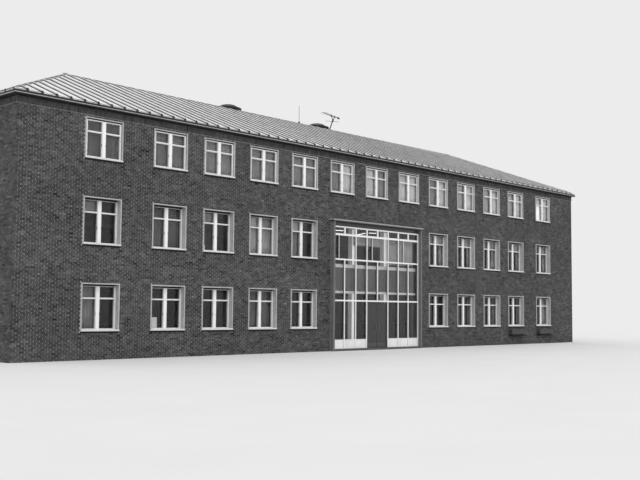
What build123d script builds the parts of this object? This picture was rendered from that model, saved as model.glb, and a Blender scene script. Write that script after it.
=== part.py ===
from build123d import *
from math import floor, hypot, sqrt
import os

# Three-storey brick station building with a hipped batten-roll roof and a glazed entrance.
# Millimetres. X runs along the front, Y runs into the building, Z is up.
# The origin is the centre of the plan on the ground line.

# Cutting blocks run this far past the faces that they cut
past = 1.0

# Walls
depth = 11450.0
wall_thickness = 340.0
wall_top = 9210.0
slab_seat = 110.0

# Storeys, with whole courses of bricks in each
course = 75.0
courses_in_storey = 42
floor_top = 100.0
floor_thickness = 230.0

# Window grid
window_pitch = 2534.0
end_window_offset = 560.0
end_pier = 3561.0
windows_each_side = 6
entrance_bays_each_side = 1
window_width = 1656.0
sill_level = 1023.0
window_height = 1765.0
top_window_height = 1528.0
ground_recess = 210.0
middle_recess = 230.0
top_recess = 60.0

# Window parts
surround_face = 45.0
surround_proud = 35.0
sill_height = 75.0
sill_proud = 70.0
window_post = 210.0
post_depth = 50.0
glass_thickness = 6.0

# Window boxes under the two last ground-floor windows on the right
box_length = 1560.0
box_depth = 240.0
box_height = 270.0
box_drop = 170.0
box_wall = 35.0
box_soil_drop = 50.0
box_bracket_width = 40.0
box_bracket_height = 60.0
box_bracket_lip = 12.0

# Eaves
band_bottom = 8925.0
band_proud = 14.0
soffit_width = 200.0
soffit_thickness = 40.0
fascia_place = 100.0
fascia_thickness = 22.0
gutter_width = 63.0
gutter_wall = 8.0
gutter_below_sheet = 10.0
mitre_gap = 1.0

# Roof
sheet_overhang = 170.0
sheet_edge_top = 9385.0
ridge_level = 11830.0
hip_run = 5555.0
sheet_depth = 40.0
roll_pitch = 577.0
roll_width = 60.0
roll_height = 52.0
shortest_roll = 200.0
cap_half_width = 60.0
cap_side_height = 22.0
cap_top_height = 34.0
cap_flat_half = 32.0
hip_cap_stop = 260.0
peak_radius = 110.0
peak_height = 45.0
seat_gap = 0.3

# On the roof
left_vent = -4120.0
right_vent = 2430.0
vent_behind_ridge = 650.0
vent_kerb_radius = 450.0
vent_radius = 680.0
vent_rim = 110.0
vent_crown_radius = 500.0
vent_crown_foot = 125.0
vent_crown_rise = 215.0
vent_top_radius = 110.0
vent_sides = 20
vent_rings = 3
vent_above_ridge = 60.0
pipe_place = 363.0
pipe_radius = 14.0
pipe_height = 950.0
aerial_place = 2790.0
aerial_base = 120.0
aerial_base_thickness = 12.0
mast_radius = 16.0
mast_height = 565.0
mast_lean = 270.0
boom_radius = 12.0
boom_turn = 14.0
boom_rise = 210.0
boom_front_length = 1170.0
boom_back_length = 730.0
strut_radius = 8.0
strut_spread = 205.0
element_radius = 6.0
element_length = 520.0
element_step = 290.0
element_shortening = 26.0
element_count = 6
aerial_box_length = 170.0
aerial_box_height = 80.0
aerial_box_width = 70.0
side_rod_turn = -27.0
side_rod_half = 410.0
side_rod_drop = 90.0

# Entrance surround
portal_half = 3355.0
portal_jamb = 110.0
portal_proud = 250.0
portal_head_bottom = 5990.0
portal_head_thickness = 98.0
portal_head_proud = 40.0

# Entrance screen
screen_front = -80.0
screen_depth = 70.0
bar_width = 70.0
thin_bar = 36.0
bay_count = 8
panel_top = 480.0
panel_rail = 40.0
panel_set_back = 15.0
panel_thickness = 30.0
door_rail = 2330.0
sill_rail = 4250.0
hopper_row = 370.0
hopper_frame = 34.0
hopper_depth = 45.0
hopper_gap = 6.0
head_panel_height = 185.0
head_panel_thickness = 30.0
threshold_front = -230.0
wide_light_lines = (-3, 0, 3)
thin_bar_lines = (-3.5, -0.5, 2.5)

# Behind the screen
upstand_front = 130.0
upstand_thickness = 40.0
upstand_foot = 2670.0
upstand_top = 4040.0
upstand_cap_height = 160.0
upstand_cap_proud = 25.0
upstand_trim_height = 105.0
upstand_trim_proud = 15.0
pillar_width = 250.0
pillar_spacing = 2400.0
pillar_set_back = 420.0

# Doors
door_post = 50.0
door_post_front = -70.0
door_stop = 14.0
door_stop_depth = 20.0
door_gap = 6.0
door_meeting_gap = 10.0
door_face = -30.0
door_thickness = 45.0
door_foot_gap = 8.0
hinge_offset = 20.0
hinge_margin = 200.0
hinge_count = 3
hinge_pin_radius = 8.0
hinge_pin_height = 90.0
hinge_strap = 40.0
hinge_bracket = 10.0
hinge_bracket_thickness = 8.0
handle_from_edge = 85.0
handle_level = 900.0
handle_height = 420.0
handle_radius = 12.0
handle_stand = 60.0
handle_stand_radius = 9.0

# Derived values
storey = course * courses_in_storey
window_heights = (window_height, window_height, top_window_height)
window_recesses = (ground_recess, middle_recess, top_recess)
half_length = windows_each_side * window_pitch + end_window_offset + end_pier
half_depth = depth / 2
front = -half_depth
bay = (portal_half - portal_jamb - bar_width / 2) * 2 / bay_count
portal_inner = portal_half - portal_jamb
screen_back = screen_front + screen_depth
top_rail = portal_head_bottom - head_panel_height - bar_width / 2
hopper_rail = top_rail - hopper_row
sheet_x = half_length + sheet_overhang
sheet_y = half_depth + sheet_overhang
ridge_half = sheet_x - hip_run
rise = ridge_level - sheet_edge_top
front_slope = rise / sheet_y
hip_slope = rise / hip_run
attic_floor_top = sheet_edge_top - sheet_depth + sheet_overhang * front_slope - seat_gap
door_half = bay - bar_width / 2 - door_post
door_bottom = floor_top + door_foot_gap
door_top = door_rail - bar_width / 2 - door_post - door_gap
hinge_step = (door_top - door_bottom - 2 * hinge_margin) / (hinge_count - 1)
hinge_levels = [door_bottom + hinge_margin + n * hinge_step for n in range(hinge_count)]


def box(x0, x1, y0, y1, z0, z1):
    """A block between two corners."""
    return Solid.make_box(x1 - x0, y1 - y0, z1 - z0).moved(Location((x0, y0, z0)))


def prism(points, direction):
    """A flat outline pushed along a direction."""
    face = Face(Wire.make_polygon([Vector(*p) for p in points]))
    return Solid.extrude(face, Vector(*direction))


def upright(radius, height, place):
    """A vertical round bar standing on a point."""
    return Solid.make_cylinder(radius, height).moved(Location(place))


def rod_between(start, end, radius):
    """A thin rod with six sides from one point to another."""
    direction = Vector(*end) - Vector(*start)
    plane = Plane(origin=Vector(*start), z_dir=direction)
    outline = Wire.make_polygon([plane.from_local_coords(p) for p in polar_points(radius, 6)])
    return Solid.extrude(Face(outline), direction)


def polar_points(radius, count):
    """Points evenly spaced round the middle of a plane."""
    spoke = Vector(radius, 0, 0)
    return [spoke.rotate(Axis.Z, 360 / count * n) for n in range(count)]


def joined(first, others):
    """Touching solids made one."""
    return first.fuse(*others).clean()


def save(name, solids):
    """Write one named piece, which may hold several solids."""
    found = []
    for item in solids:
        found.extend(item.solids())
    shape = found[0] if len(found) == 1 else Compound(found)
    export_step(shape, f"parts/{name}.step")


# Sides of the building: a local frame with x to the right seen from outside and y inwards
sides = {
    "front": (Location((0, -half_depth, 0)), half_length),
    "back": (Location((0, half_depth, 0), (0, 0, 180)), half_length),
    "left": (Location((-half_length, 0, 0), (0, 0, -90)), half_depth),
    "right": (Location((half_length, 0, 0), (0, 0, 90)), half_depth),
}


def window_x(number):
    """Centre of a window counted from the middle of a long wall."""
    offset = end_window_offset if abs(number) == windows_each_side else 0.0
    return number * window_pitch + (offset if number > 0 else -offset)


def window_places(side, level):
    """Centres of the windows of one storey on one side."""
    if side in ("left", "right"):
        return [0.0]
    numbers = range(-windows_each_side, windows_each_side + 1)
    entrance = side == "front" and level < 2
    return [window_x(n) for n in numbers if not (entrance and abs(n) <= entrance_bays_each_side)]


def sill_z(level):
    """Underside of the sills of one storey."""
    return sill_level + level * storey


def window_hole(x, level):
    """The hole that a window needs through its wall."""
    half = window_width / 2
    bottom = sill_z(level)
    top = bottom + window_heights[level]
    return box(x - half, x + half, -past, wall_thickness + past, bottom, top)


def window_surround(level):
    """Jambs and head that line the opening and stand proud of the brick."""
    half = window_width / 2
    top = window_heights[level]
    inner = half - surround_face
    outline = [(-half, sill_height), (-inner, sill_height), (-inner, top - surround_face)]
    outline += [(inner, top - surround_face), (inner, sill_height), (half, sill_height)]
    outline += [(half, top), (-half, top)]
    reach = window_recesses[level] + post_depth + glass_thickness
    points = [(x, -surround_proud, z) for x, z in outline]
    return prism(points, (0, surround_proud + reach, 0))


def window_sill(level):
    """The sill under the surround."""
    half = window_width / 2
    reach = window_recesses[level] + post_depth + glass_thickness
    return box(-half, half, -sill_proud, reach, 0, sill_height)


def window_middle_post(level):
    """The broad post in the middle of a window, between two lights."""
    half = window_post / 2
    y = window_recesses[level]
    return box(-half, half, y, y + post_depth, sill_height, window_heights[level] - surround_face)


def window_pane(level):
    """The glass behind a middle post."""
    half = window_width / 2 - surround_face
    y = window_recesses[level] + post_depth
    return box(-half, half, y, y + glass_thickness, sill_height, window_heights[level] - surround_face)


def set_windows(piece, level):
    """Copies of one window part at every window of a storey."""
    copies = []
    for side, (location, _) in sides.items():
        for x in window_places(side, level):
            copies.append(piece.moved(location * Location((x, 0, sill_z(level)))))
    return copies


def save_windows():
    """Surrounds, sills, middle posts and glass of every window."""
    makers = {
        "window_surrounds": window_surround,
        "window_sills": window_sill,
        "window_posts": window_middle_post,
        "window_glass": window_pane,
    }
    for name, maker in makers.items():
        pieces = []
        for level in range(len(window_heights)):
            pieces.extend(set_windows(maker(level), level))
        save(name, pieces)


def floor_slab(level):
    """A floor that bears on the walls; the lower two run out towards the entrance screen."""
    x = half_length - wall_thickness + slab_seat
    y = half_depth - wall_thickness + slab_seat
    top = floor_top + level * storey
    bottom = 0.0 if level == 0 else top - floor_thickness
    slab = box(-x, x, -y, y, bottom, top)
    tips = (screen_back, upstand_front + upstand_thickness)
    if level < len(tips):
        tongue = box(-portal_inner, portal_inner, front + tips[level], -y, bottom, top)
        slab = joined(slab, [tongue])
    return slab


def attic_floor():
    """The slab over the top storey, which the roof stands on."""
    return box(-half_length, half_length, -half_depth, half_depth, wall_top, attic_floor_top)


def long_wall(x0, x1, z0, side):
    """A stretch of front or back wall with its windows cut through."""
    piece = box(x0, x1, 0, wall_thickness, z0, wall_top)
    half = window_width / 2
    holes = []
    for level in range(3):
        for x in window_places(side, level):
            if x0 < x + half and x - half < x1 and sill_z(level) > z0:
                holes.append(window_hole(x, level))
    return piece.cut(*holes).moved(sides[side][0])


def end_wall(side):
    """An end wall between the front and back walls."""
    reach = half_depth - wall_thickness
    piece = box(-reach, reach, 0, wall_thickness, 0, wall_top)
    holes = [window_hole(0, level) for level in range(3)]
    return piece.cut(*holes).moved(sides[side][0])


def save_shell():
    """Walls and floors."""
    floors = [floor_slab(level) for level in range(3)]
    head_top = portal_head_bottom + portal_head_thickness
    walls = {
        "front_wall_left": long_wall(-half_length, -portal_half, 0, "front"),
        "front_wall_right": long_wall(portal_half, half_length, 0, "front"),
        "front_wall_over_entrance": long_wall(-portal_half, portal_half, head_top, "front"),
        "back_wall": long_wall(-half_length, half_length, 0, "back"),
        "left_wall": end_wall("left"),
        "right_wall": end_wall("right"),
    }
    for name, wall in walls.items():
        save(name, [wall.cut(*floors)])
    for name, slab in zip(("ground_floor", "first_floor", "second_floor"), floors):
        save(name, [slab])
    save("attic_floor", [attic_floor()])


def eaves_run(profile, side):
    """A straight moulding along one side with mitred ends; profile holds (outwards, level) points."""
    location, half = sides[side]
    end = half - mitre_gap
    reach = max(out for out, _ in profile)
    low = min(z for _, z in profile)
    high = max(z for _, z in profile)
    run = prism([(-end - reach, -out, z) for out, z in profile], (2 * (end + reach), 0, 0))
    mitres = []
    for sign in (-1, 1):
        tip = end + reach + past
        corners = [(end - past, past), (tip, -reach - past), (tip, past)]
        cutter = [(sign * x, y, low - past) for x, y in corners]
        mitres.append(prism(cutter, (0, 0, high - low + 2 * past)))
    return run.cut(*mitres).moved(location)


def sheet_underside(out, side):
    """Level of the roof's underside at a distance outside the wall."""
    slope = front_slope if side in ("front", "back") else hip_slope
    return sheet_edge_top - sheet_depth + (sheet_overhang - out) * slope


def band_profile(side):
    """The course of bricks on end under the eaves."""
    return [(0, band_bottom), (band_proud, band_bottom), (band_proud, wall_top), (0, wall_top)]


def soffit_profile(side):
    """The wide board under the eaves, whose edge shows below the gutter."""
    top = wall_top + soffit_thickness
    return [(0, wall_top), (soffit_width, wall_top), (soffit_width, top), (0, top)]


def fascia_profile(side):
    """The board behind the gutter, with its top cut to the roof."""
    inner = fascia_place
    outer = fascia_place + fascia_thickness
    bottom = wall_top + soffit_thickness
    points = [(inner, bottom), (outer, bottom)]
    points += [(outer, sheet_underside(outer, side)), (inner, sheet_underside(inner, side))]
    return points


def gutter_profile(side):
    """A box gutter between the fascia and the soffit board's edge, which it stands on."""
    inner = fascia_place + fascia_thickness
    outer = inner + gutter_width
    top = sheet_edge_top - sheet_depth - gutter_below_sheet
    bottom = wall_top + soffit_thickness
    points = [(inner, bottom), (outer - gutter_wall, bottom), (outer, bottom + gutter_wall), (outer, top)]
    points += [(outer - gutter_wall, top), (outer - gutter_wall, bottom + gutter_wall)]
    points += [(inner + gutter_wall, bottom + gutter_wall), (inner + gutter_wall, top), (inner, top)]
    return points


def save_eaves():
    """Brick band, soffit, fascia and gutter, each in four mitred lengths."""
    profiles = {
        "eaves_band": band_profile,
        "eaves_soffit": soffit_profile,
        "eaves_fascia": fascia_profile,
        "eaves_gutter": gutter_profile,
    }
    for name, profile in profiles.items():
        runs = [eaves_run(profile(side), side) for side in sides]
        if name == "eaves_fascia":
            runs = [run.cut(*roof_sheets(sheet_depth)) for run in runs]
        save(name, runs)


def front_level(y):
    """Level of the front slope over a place in plan."""
    return ridge_level - abs(y) * front_slope


def hip_level(x):
    """Level of an end slope over a place in plan."""
    return ridge_level - (abs(x) - ridge_half) * hip_slope


def front_sheet(drop):
    """The front slope down to a depth below its face."""
    corners = [(-sheet_x, -sheet_y), (sheet_x, -sheet_y), (ridge_half, 0), (-ridge_half, 0)]
    return prism([(x, y, front_level(y)) for x, y in corners], (0, 0, -drop))


def hip_sheet(drop):
    """The right end slope down to a depth below its face."""
    corners = [(sheet_x, -sheet_y), (sheet_x, sheet_y), (ridge_half, 0)]
    return prism([(x, y, hip_level(x)) for x, y in corners], (0, 0, -drop))


def roll_lines(half):
    """Places of the rolls along an eaves."""
    count = floor(half / roll_pitch)
    return [n * roll_pitch for n in range(-count, count + 1)]


def hip_cap_reach():
    """How far a hip cap reaches along the eaves and up the slope from the hip line."""
    size = hypot(hip_run, sheet_y)
    return cap_half_width * size / sheet_y, cap_half_width * size / hip_run


def front_rolls():
    """Batten rolls from the eaves to the ridge cap or a hip cap."""
    along, _ = hip_cap_reach()
    rolls = []
    for x in roll_lines(sheet_x):
        corners = []
        for edge in (x - roll_width / 2, x + roll_width / 2):
            beyond = max(0.0, abs(edge) + along - ridge_half)
            top = -max(cap_half_width, beyond * sheet_y / hip_run)
            corners.append((edge, top))
        if min(top for _, top in corners) + sheet_y < shortest_roll:
            continue
        outline = [(corners[0][0], -sheet_y), (corners[1][0], -sheet_y), corners[1], corners[0]]
        rolls.append(prism([(px, py, front_level(py)) for px, py in outline], (0, 0, roll_height)))
    return rolls


def hip_rolls():
    """Batten rolls from the right eaves to the hip caps."""
    _, up = hip_cap_reach()
    rolls = []
    for y in roll_lines(sheet_y):
        corners = []
        for edge in (y - roll_width / 2, y + roll_width / 2):
            top = ridge_half + (abs(edge) + up) * hip_run / sheet_y
            corners.append((max(top, ridge_half + peak_radius), edge))
        if sheet_x - max(top for top, _ in corners) < shortest_roll:
            continue
        outline = [(sheet_x, corners[0][1]), (sheet_x, corners[1][1]), corners[1], corners[0]]
        rolls.append(prism([(px, py, hip_level(px)) for px, py in outline], (0, 0, roll_height)))
    return rolls


def cap_outline(left_fall, right_fall):
    """Section of a cap that sits astride two slopes."""
    w = cap_half_width
    flat = cap_flat_half
    points = [(-w, -w * left_fall), (0, 0), (w, -w * right_fall)]
    points += [(w, cap_side_height - w * right_fall), (flat, cap_top_height)]
    points += [(-flat, cap_top_height), (-w, cap_side_height - w * left_fall)]
    return points


def ridge_cap():
    """The cap along the ridge."""
    outline = cap_outline(front_slope, front_slope)
    points = [(-ridge_half, y, ridge_level + z) for y, z in outline]
    return prism(points, (2 * ridge_half, 0, 0))


def hip_cap():
    """The cap down the hip at the right of the front, which stops short of the corner."""
    size = hypot(hip_run, sheet_y)
    share = 1 - hip_cap_stop / size
    front_fall = front_slope * hip_run / size
    end_fall = hip_slope * sheet_y / size
    points = []
    for d, z in cap_outline(front_fall, end_fall):
        points.append((ridge_half + d * sheet_y / size, d * hip_run / size, ridge_level + z))
    return prism(points, (hip_run * share, -sheet_y * share, -rise * share))


def mirrored(solids, plane):
    """Solids and their mirror images."""
    return solids + [solid.mirror(plane) for solid in solids]


def roof_sheets(drop):
    """The four slopes down to a depth below their faces."""
    return mirrored([front_sheet(drop)], Plane.XZ) + mirrored([hip_sheet(drop)], Plane.YZ)


def peak_cover(sign):
    """The round cover where the ridge and two hips meet."""
    foot = (sign * ridge_half, 0, ridge_level - peak_radius)
    return upright(peak_radius, peak_radius + peak_height, foot)


def save_roof():
    """Four slopes with their rolls, and the caps that cover their joints."""
    peaks = [peak_cover(-1), peak_cover(1)]
    below = roof_sheets(rise + sheet_depth)
    front_face = joined(front_sheet(sheet_depth), front_rolls())
    hip_face = joined(hip_sheet(sheet_depth), hip_rolls())
    front_face = front_face.cut(*[peak.cut(*below) for peak in peaks])
    hip_face = hip_face.cut(peaks[1].cut(*below))
    save("roof_front", [front_face])
    save("roof_back", [front_face.mirror(Plane.XZ)])
    save("roof_right", [hip_face])
    save("roof_left", [hip_face.mirror(Plane.YZ)])
    save("ridge_cap", [ridge_cap().cut(*peaks)])
    hips = mirrored(mirrored([hip_cap().cut(peaks[1])], Plane.XZ), Plane.YZ)
    save("hip_caps", hips)
    save("ridge_end_covers", [peak.cut(*below) for peak in peaks])
    back_rolls = [roll.mirror(Plane.XZ) for roll in front_rolls()]
    vents = [roof_vent(x) for x in (left_vent, right_vent)]
    save("roof_vents", [vent.cut(*below).cut(*back_rolls) for vent in vents])


def vent_ring(radius, level):
    """Points of a level outline with many sides round the vent's axis."""
    return [point + Vector(0, 0, level) for point in polar_points(radius, vent_sides)]


def stacked(rings):
    """A closed solid with flat sides between level outlines."""
    faces = [Face(Wire.make_polygon(rings[0])), Face(Wire.make_polygon(rings[-1]))]
    for low, high in zip(rings, rings[1:]):
        for n in range(len(low)):
            faces.append(Face(Wire.make_polygon([low[n - 1], low[n], high[n], high[n - 1]])))
    return Solid(Shell(faces))


def roof_vent(x):
    """A cowl with a deep brim and a domed crown on a kerb behind the ridge."""
    rings = [vent_ring(vent_kerb_radius, -rise / 2), vent_ring(vent_kerb_radius, 0)]
    rings += [vent_ring(vent_radius, 0), vent_ring(vent_radius, vent_rim)]
    for n in range(vent_rings + 1):
        radius = vent_crown_radius - (vent_crown_radius - vent_top_radius) * n / vent_rings
        share = radius / vent_crown_radius
        rings.append(vent_ring(radius, vent_crown_foot + vent_crown_rise * sqrt(1 - share**2)))
    place = Location((x, vent_behind_ridge, ridge_level + vent_above_ridge))
    return stacked(rings).moved(place)


def save_roof_furniture():
    """A thin pipe and an aerial that stand on the ridge cap."""
    cap_top = ridge_level + cap_top_height
    save("ridge_pipe", [upright(pipe_radius, pipe_height, (pipe_place, 0, cap_top))])
    half = aerial_base / 2
    x = aerial_place
    plate_top = cap_top + aerial_base_thickness
    y = cap_flat_half
    plate = box(x - half, x + half, -y, y, cap_top, plate_top)
    joint = Vector(x + mast_lean, 0, plate_top + mast_height)
    mast = rod_between((x, 0, plate_top - aerial_base_thickness / 2), tuple(joint), mast_radius)
    head = joint + Vector(0, 0, boom_rise)
    along = Vector(1, 0, 0).rotate(Axis.Z, boom_turn)
    start = head - along * boom_front_length
    end = head + along * boom_back_length
    boom = rod_between(tuple(start), tuple(end), boom_radius)
    lowest = joint - Vector(0, 0, mast_radius)
    struts = [rod_between(tuple(lowest), tuple(head + along * place), strut_radius)
              for place in (-strut_spread, strut_spread)]
    sideways = Vector(side_rod_half, 0, 0).rotate(Axis.Z, side_rod_turn)
    crossing = joint - Vector(mast_lean, 0, mast_height) * (side_rod_drop / mast_height)
    side_rod = rod_between(tuple(crossing - sideways), tuple(crossing + sideways), element_radius)
    ends = Solid.make_box(aerial_box_length, aerial_box_width, aerial_box_height)
    ends = ends.moved(Location((-aerial_box_length, -aerial_box_width / 2, -aerial_box_height / 2)))
    ends = ends.moved(Location(tuple(end), (0, 0, boom_turn)))
    across = along.rotate(Axis.Z, 90)
    elements = []
    for n in range(element_count):
        middle = start + along * (element_step / 4 + element_step * n)
        tip = across * ((element_length - element_shortening * n) / 2)
        elements.append(rod_between(tuple(middle - tip), tuple(middle + tip), element_radius))
    save("aerial", [joined(plate, [mast, boom, *struts, side_rod, ends, *elements])])


def save_portal():
    """The frame of thin slabs round the two-storey entrance."""
    y0 = front - portal_proud
    y1 = front + wall_thickness
    jambs = []
    for sign in (-1, 1):
        x0, x1 = sorted((sign * portal_inner, sign * portal_half))
        jambs.append(box(x0, x1, y0, y1, 0, portal_head_bottom).cut(floor_slab(0), floor_slab(1)))
    save("portal_jambs", jambs)
    top = portal_head_bottom + portal_head_thickness
    inside = box(-portal_half, portal_half, front, y1, portal_head_bottom, top)
    reach = portal_half + portal_head_proud
    outside = box(-reach, reach, y0 - portal_head_proud, front, portal_head_bottom, top)
    save("portal_head", [joined(inside, [outside])])
    threshold = box(-portal_inner, portal_inner, front + threshold_front, front + screen_back, 0, floor_top)
    save("entrance_threshold", [threshold])


def screen_bar(x, z0, z1, width):
    """An upright bar of the entrance screen."""
    return box(x - width / 2, x + width / 2, front + screen_front, front + screen_back, z0, z1)


def screen_rail(x0, x1, z, width):
    """A level rail of the entrance screen."""
    return box(x0, x1, front + screen_front, front + screen_back, z - width / 2, z + width / 2)


def screen_uprights(lines, foot):
    """Upright bars at bay lines, in two lengths where they stop at a wide middle light."""
    bars = []
    head = top_rail + bar_width / 2
    for n in lines:
        x = n * bay
        if n in wide_light_lines:
            bars.append(screen_bar(x, foot, sill_rail, bar_width))
            bars.append(screen_bar(x, hopper_rail, head, bar_width))
        else:
            bars.append(screen_bar(x, foot, head, bar_width))
    return bars


def thin_bars(first, last):
    """The thin bars that divide the wide middle lights between two bay lines."""
    lines = [n for n in thin_bar_lines if first < n < last]
    return [screen_bar(n * bay, sill_rail, hopper_rail, thin_bar) for n in lines]


def long_rails(x0, x1):
    """The rails that run the whole width of the screen."""
    return [screen_rail(x0, x1, z, bar_width) for z in (door_rail, sill_rail, hopper_rail, top_rail)]


def screen_side(sign):
    """The bays of the screen at one side of the doors."""
    edge = bay_count // 2
    first, last = sorted((sign, sign * edge))
    bars = screen_uprights(range(first, last + 1), floor_top) + thin_bars(first, last)
    x0, x1 = first * bay - bar_width / 2, last * bay + bar_width / 2
    rails = long_rails(x0, x1)
    rails.append(screen_rail(x0, x1, panel_top + panel_rail / 2, panel_rail))
    rails.append(screen_rail(x0, x1, floor_top + panel_rail / 2, panel_rail))
    return joined(bars[0], bars[1:] + rails)


def screen_over_door():
    """The bays of the screen over the doors."""
    x = bay - bar_width / 2
    bars = screen_uprights([0], door_rail) + thin_bars(-1, 1)
    return joined(bars[0], bars[1:] + long_rails(-x, x))


def screen_pane(first, last, bottom):
    """The glass of the entrance screen behind some bays."""
    y0 = front + screen_back
    x0 = first * bay + bar_width / 4
    x1 = last * bay - bar_width / 4
    return box(x0, x1, y0, y0 + glass_thickness, bottom, hopper_rail)


def hopper(n):
    """A small bottom-hung light in the row at the top of the screen."""
    x0 = n * bay + bar_width / 2 + hopper_gap
    x1 = (n + 1) * bay - bar_width / 2 - hopper_gap
    z0 = hopper_rail + bar_width / 2
    z1 = top_rail - bar_width / 2 - hopper_gap
    y0 = front + screen_front + hopper_gap
    frame = box(x0, x1, y0, y0 + hopper_depth, z0, z1)
    inner = box(x0 + hopper_frame, x1 - hopper_frame, y0 - past, y0 + hopper_depth + past,
                z0 + hopper_frame, z1 - hopper_frame)
    return frame.cut(inner)


def hopper_pane(n):
    """The glass of a small top light."""
    x0 = n * bay + bar_width / 2 + hopper_gap
    x1 = (n + 1) * bay - bar_width / 2 - hopper_gap
    y0 = front + screen_front + hopper_gap + hopper_depth
    z0 = hopper_rail + bar_width / 2
    z1 = top_rail - bar_width / 2 - hopper_gap
    return box(x0, x1, y0, y0 + glass_thickness, z0, z1)


def base_panel(n):
    """A solid panel at the foot of a bay."""
    x0 = n * bay + bar_width / 2
    x1 = (n + 1) * bay - bar_width / 2
    y0 = front + screen_front + panel_set_back
    return box(x0, x1, y0, y0 + panel_thickness, floor_top + panel_rail, panel_top)


def save_screen():
    """The glazed screen of the entrance."""
    save("screen_sides", [screen_side(-1), screen_side(1)])
    save("screen_over_door", [screen_over_door()])
    edge = bay_count // 2
    panes = [screen_pane(-edge, -1, panel_top), screen_pane(-1, 1, door_rail), screen_pane(1, edge, panel_top)]
    bays = range(-edge, edge)
    save("screen_glass", panes + [hopper_pane(n) for n in bays])
    save("hopper_lights", [hopper(n) for n in bays])
    save("screen_base_panels", [base_panel(n) for n in bays if n not in (-1, 0)])
    y1 = front + screen_back
    head = box(-portal_inner, portal_inner, y1 - head_panel_thickness, y1,
               top_rail + bar_width / 2, portal_head_bottom)
    save("screen_head_panel", [head])


def entrance_upstand():
    """The panel in front of the first floor's edge, with a cap on top and a trim at its foot."""
    y0 = front + upstand_front
    y1 = y0 + upstand_thickness
    cap = y0 - upstand_cap_proud
    trim = y0 - upstand_trim_proud
    cap_foot = upstand_top - upstand_cap_height
    trim_top = upstand_foot + upstand_trim_height
    outline = [(y1, upstand_foot), (trim, upstand_foot), (trim, trim_top), (y0, trim_top)]
    outline += [(y0, cap_foot), (cap, cap_foot), (cap, upstand_top), (y1, upstand_top)]
    return prism([(-portal_inner, y, z) for y, z in outline], (2 * portal_inner, 0, 0))


def hall_pillars():
    """Square pillars of the entrance hall, one on each floor at each side."""
    half = pillar_width / 2
    y0 = front + pillar_set_back
    pillars = []
    for level in range(2):
        foot = floor_top + level * storey
        head = foot + storey - floor_thickness
        for x in (-pillar_spacing / 2, pillar_spacing / 2):
            pillars.append(box(x - half, x + half, y0, y0 + pillar_width, foot, head))
    return pillars


def save_hall():
    """What shows behind the screen."""
    save("entrance_upstand", [entrance_upstand()])
    save("hall_pillars", hall_pillars())


def door_side(sign):
    """The post of one door leaf with its stop and hinge brackets."""
    x0, x1 = sorted((sign * door_half, sign * (door_half + door_post)))
    y0 = front + door_post_front
    axis_y = front + door_face + door_thickness + hinge_offset
    top = door_rail - bar_width / 2 - door_post
    post = box(x0, x1, y0, axis_y - hinge_bracket, floor_top, top)
    stop_back = front + door_face - door_gap
    s0, s1 = sorted((sign * (door_half - door_stop), sign * door_half))
    pieces = [box(s0, s1, stop_back - door_stop_depth, stop_back, floor_top, top)]
    b0, b1 = sorted((sign * (door_half - hinge_bracket), sign * (door_half + door_post / 2)))
    reach = hinge_pin_height / 2 + seat_gap
    for level in hinge_levels:
        for z0 in (level - reach - hinge_bracket_thickness, level + reach):
            z1 = z0 + hinge_bracket_thickness
            pieces.append(box(b0, b1, axis_y - hinge_bracket, axis_y + hinge_bracket, z0, z1))
    return joined(post, pieces)


def door_leaf(sign):
    """A leaf with its hinge straps and pins."""
    x0, x1 = sorted((sign * (door_half - door_gap), sign * door_meeting_gap / 2))
    y0 = front + door_face
    y1 = y0 + door_thickness
    leaf = box(x0, x1, y0, y1, door_bottom, door_top)
    axis_x = sign * door_half
    axis_y = y1 + hinge_offset
    pieces = []
    for level in hinge_levels:
        foot = (axis_x, axis_y, level - hinge_pin_height / 2)
        pieces.append(upright(hinge_pin_radius, hinge_pin_height, foot))
        s0, s1 = sorted((axis_x, axis_x - sign * hinge_strap))
        z0, z1 = level - hinge_pin_height / 2, level + hinge_pin_height / 2
        pieces.append(box(s0, s1, y1, axis_y + hinge_pin_radius / 2, z0, z1))
    return joined(leaf, pieces)


def door_handle(sign):
    """A pull bar on two stand-offs."""
    x = sign * (door_meeting_gap / 2 + handle_from_edge)
    face = front + door_face
    y = face - handle_stand
    bar = rod_between((x, y, handle_level), (x, y, handle_level + handle_height), handle_radius)
    stands = []
    for z in (handle_level + handle_stand, handle_level + handle_height - handle_stand):
        stands.append(rod_between((x, y, z), (x, face, z), handle_stand_radius))
    return joined(bar, stands)


def save_doors():
    """The frame and the two leaves of the entrance doors."""
    for name, sign in (("left", -1), ("right", 1)):
        save(f"door_leaf_{name}", [door_leaf(sign)])
        save(f"door_handle_{name}", [door_handle(sign)])
    x = door_half + door_post
    y0 = front + door_post_front
    z1 = door_rail - bar_width / 2
    y1 = front + door_face + door_thickness + hinge_offset - hinge_bracket
    head = box(-x, x, y0, y1, z1 - door_post, z1)
    save("door_frame", [joined(head, [door_side(-1), door_side(1)])])


def window_box(x):
    """A trough with soil below its rim."""
    top = sill_level - box_drop
    half = box_length / 2
    trough = box(x - half, x + half, front - box_depth, front, top - box_height, top)
    hollow = box(x - half + box_wall, x + half - box_wall, front - box_depth + box_wall, front - box_wall,
                 top - box_soil_drop, top + past)
    return trough.cut(hollow)


def box_brackets(x):
    """Two angle brackets under a trough."""
    top = sill_level - box_drop - box_height
    brackets = []
    for sign in (-1, 1):
        middle = x + sign * box_length / 3
        outline = [(front, top), (front - box_depth, top), (front - box_depth, top - box_bracket_lip)]
        outline += [(front, top - box_bracket_height)]
        start = middle - box_bracket_width / 2
        brackets.append(prism([(start, y, z) for y, z in outline], (box_bracket_width, 0, 0)))
    return brackets


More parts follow.
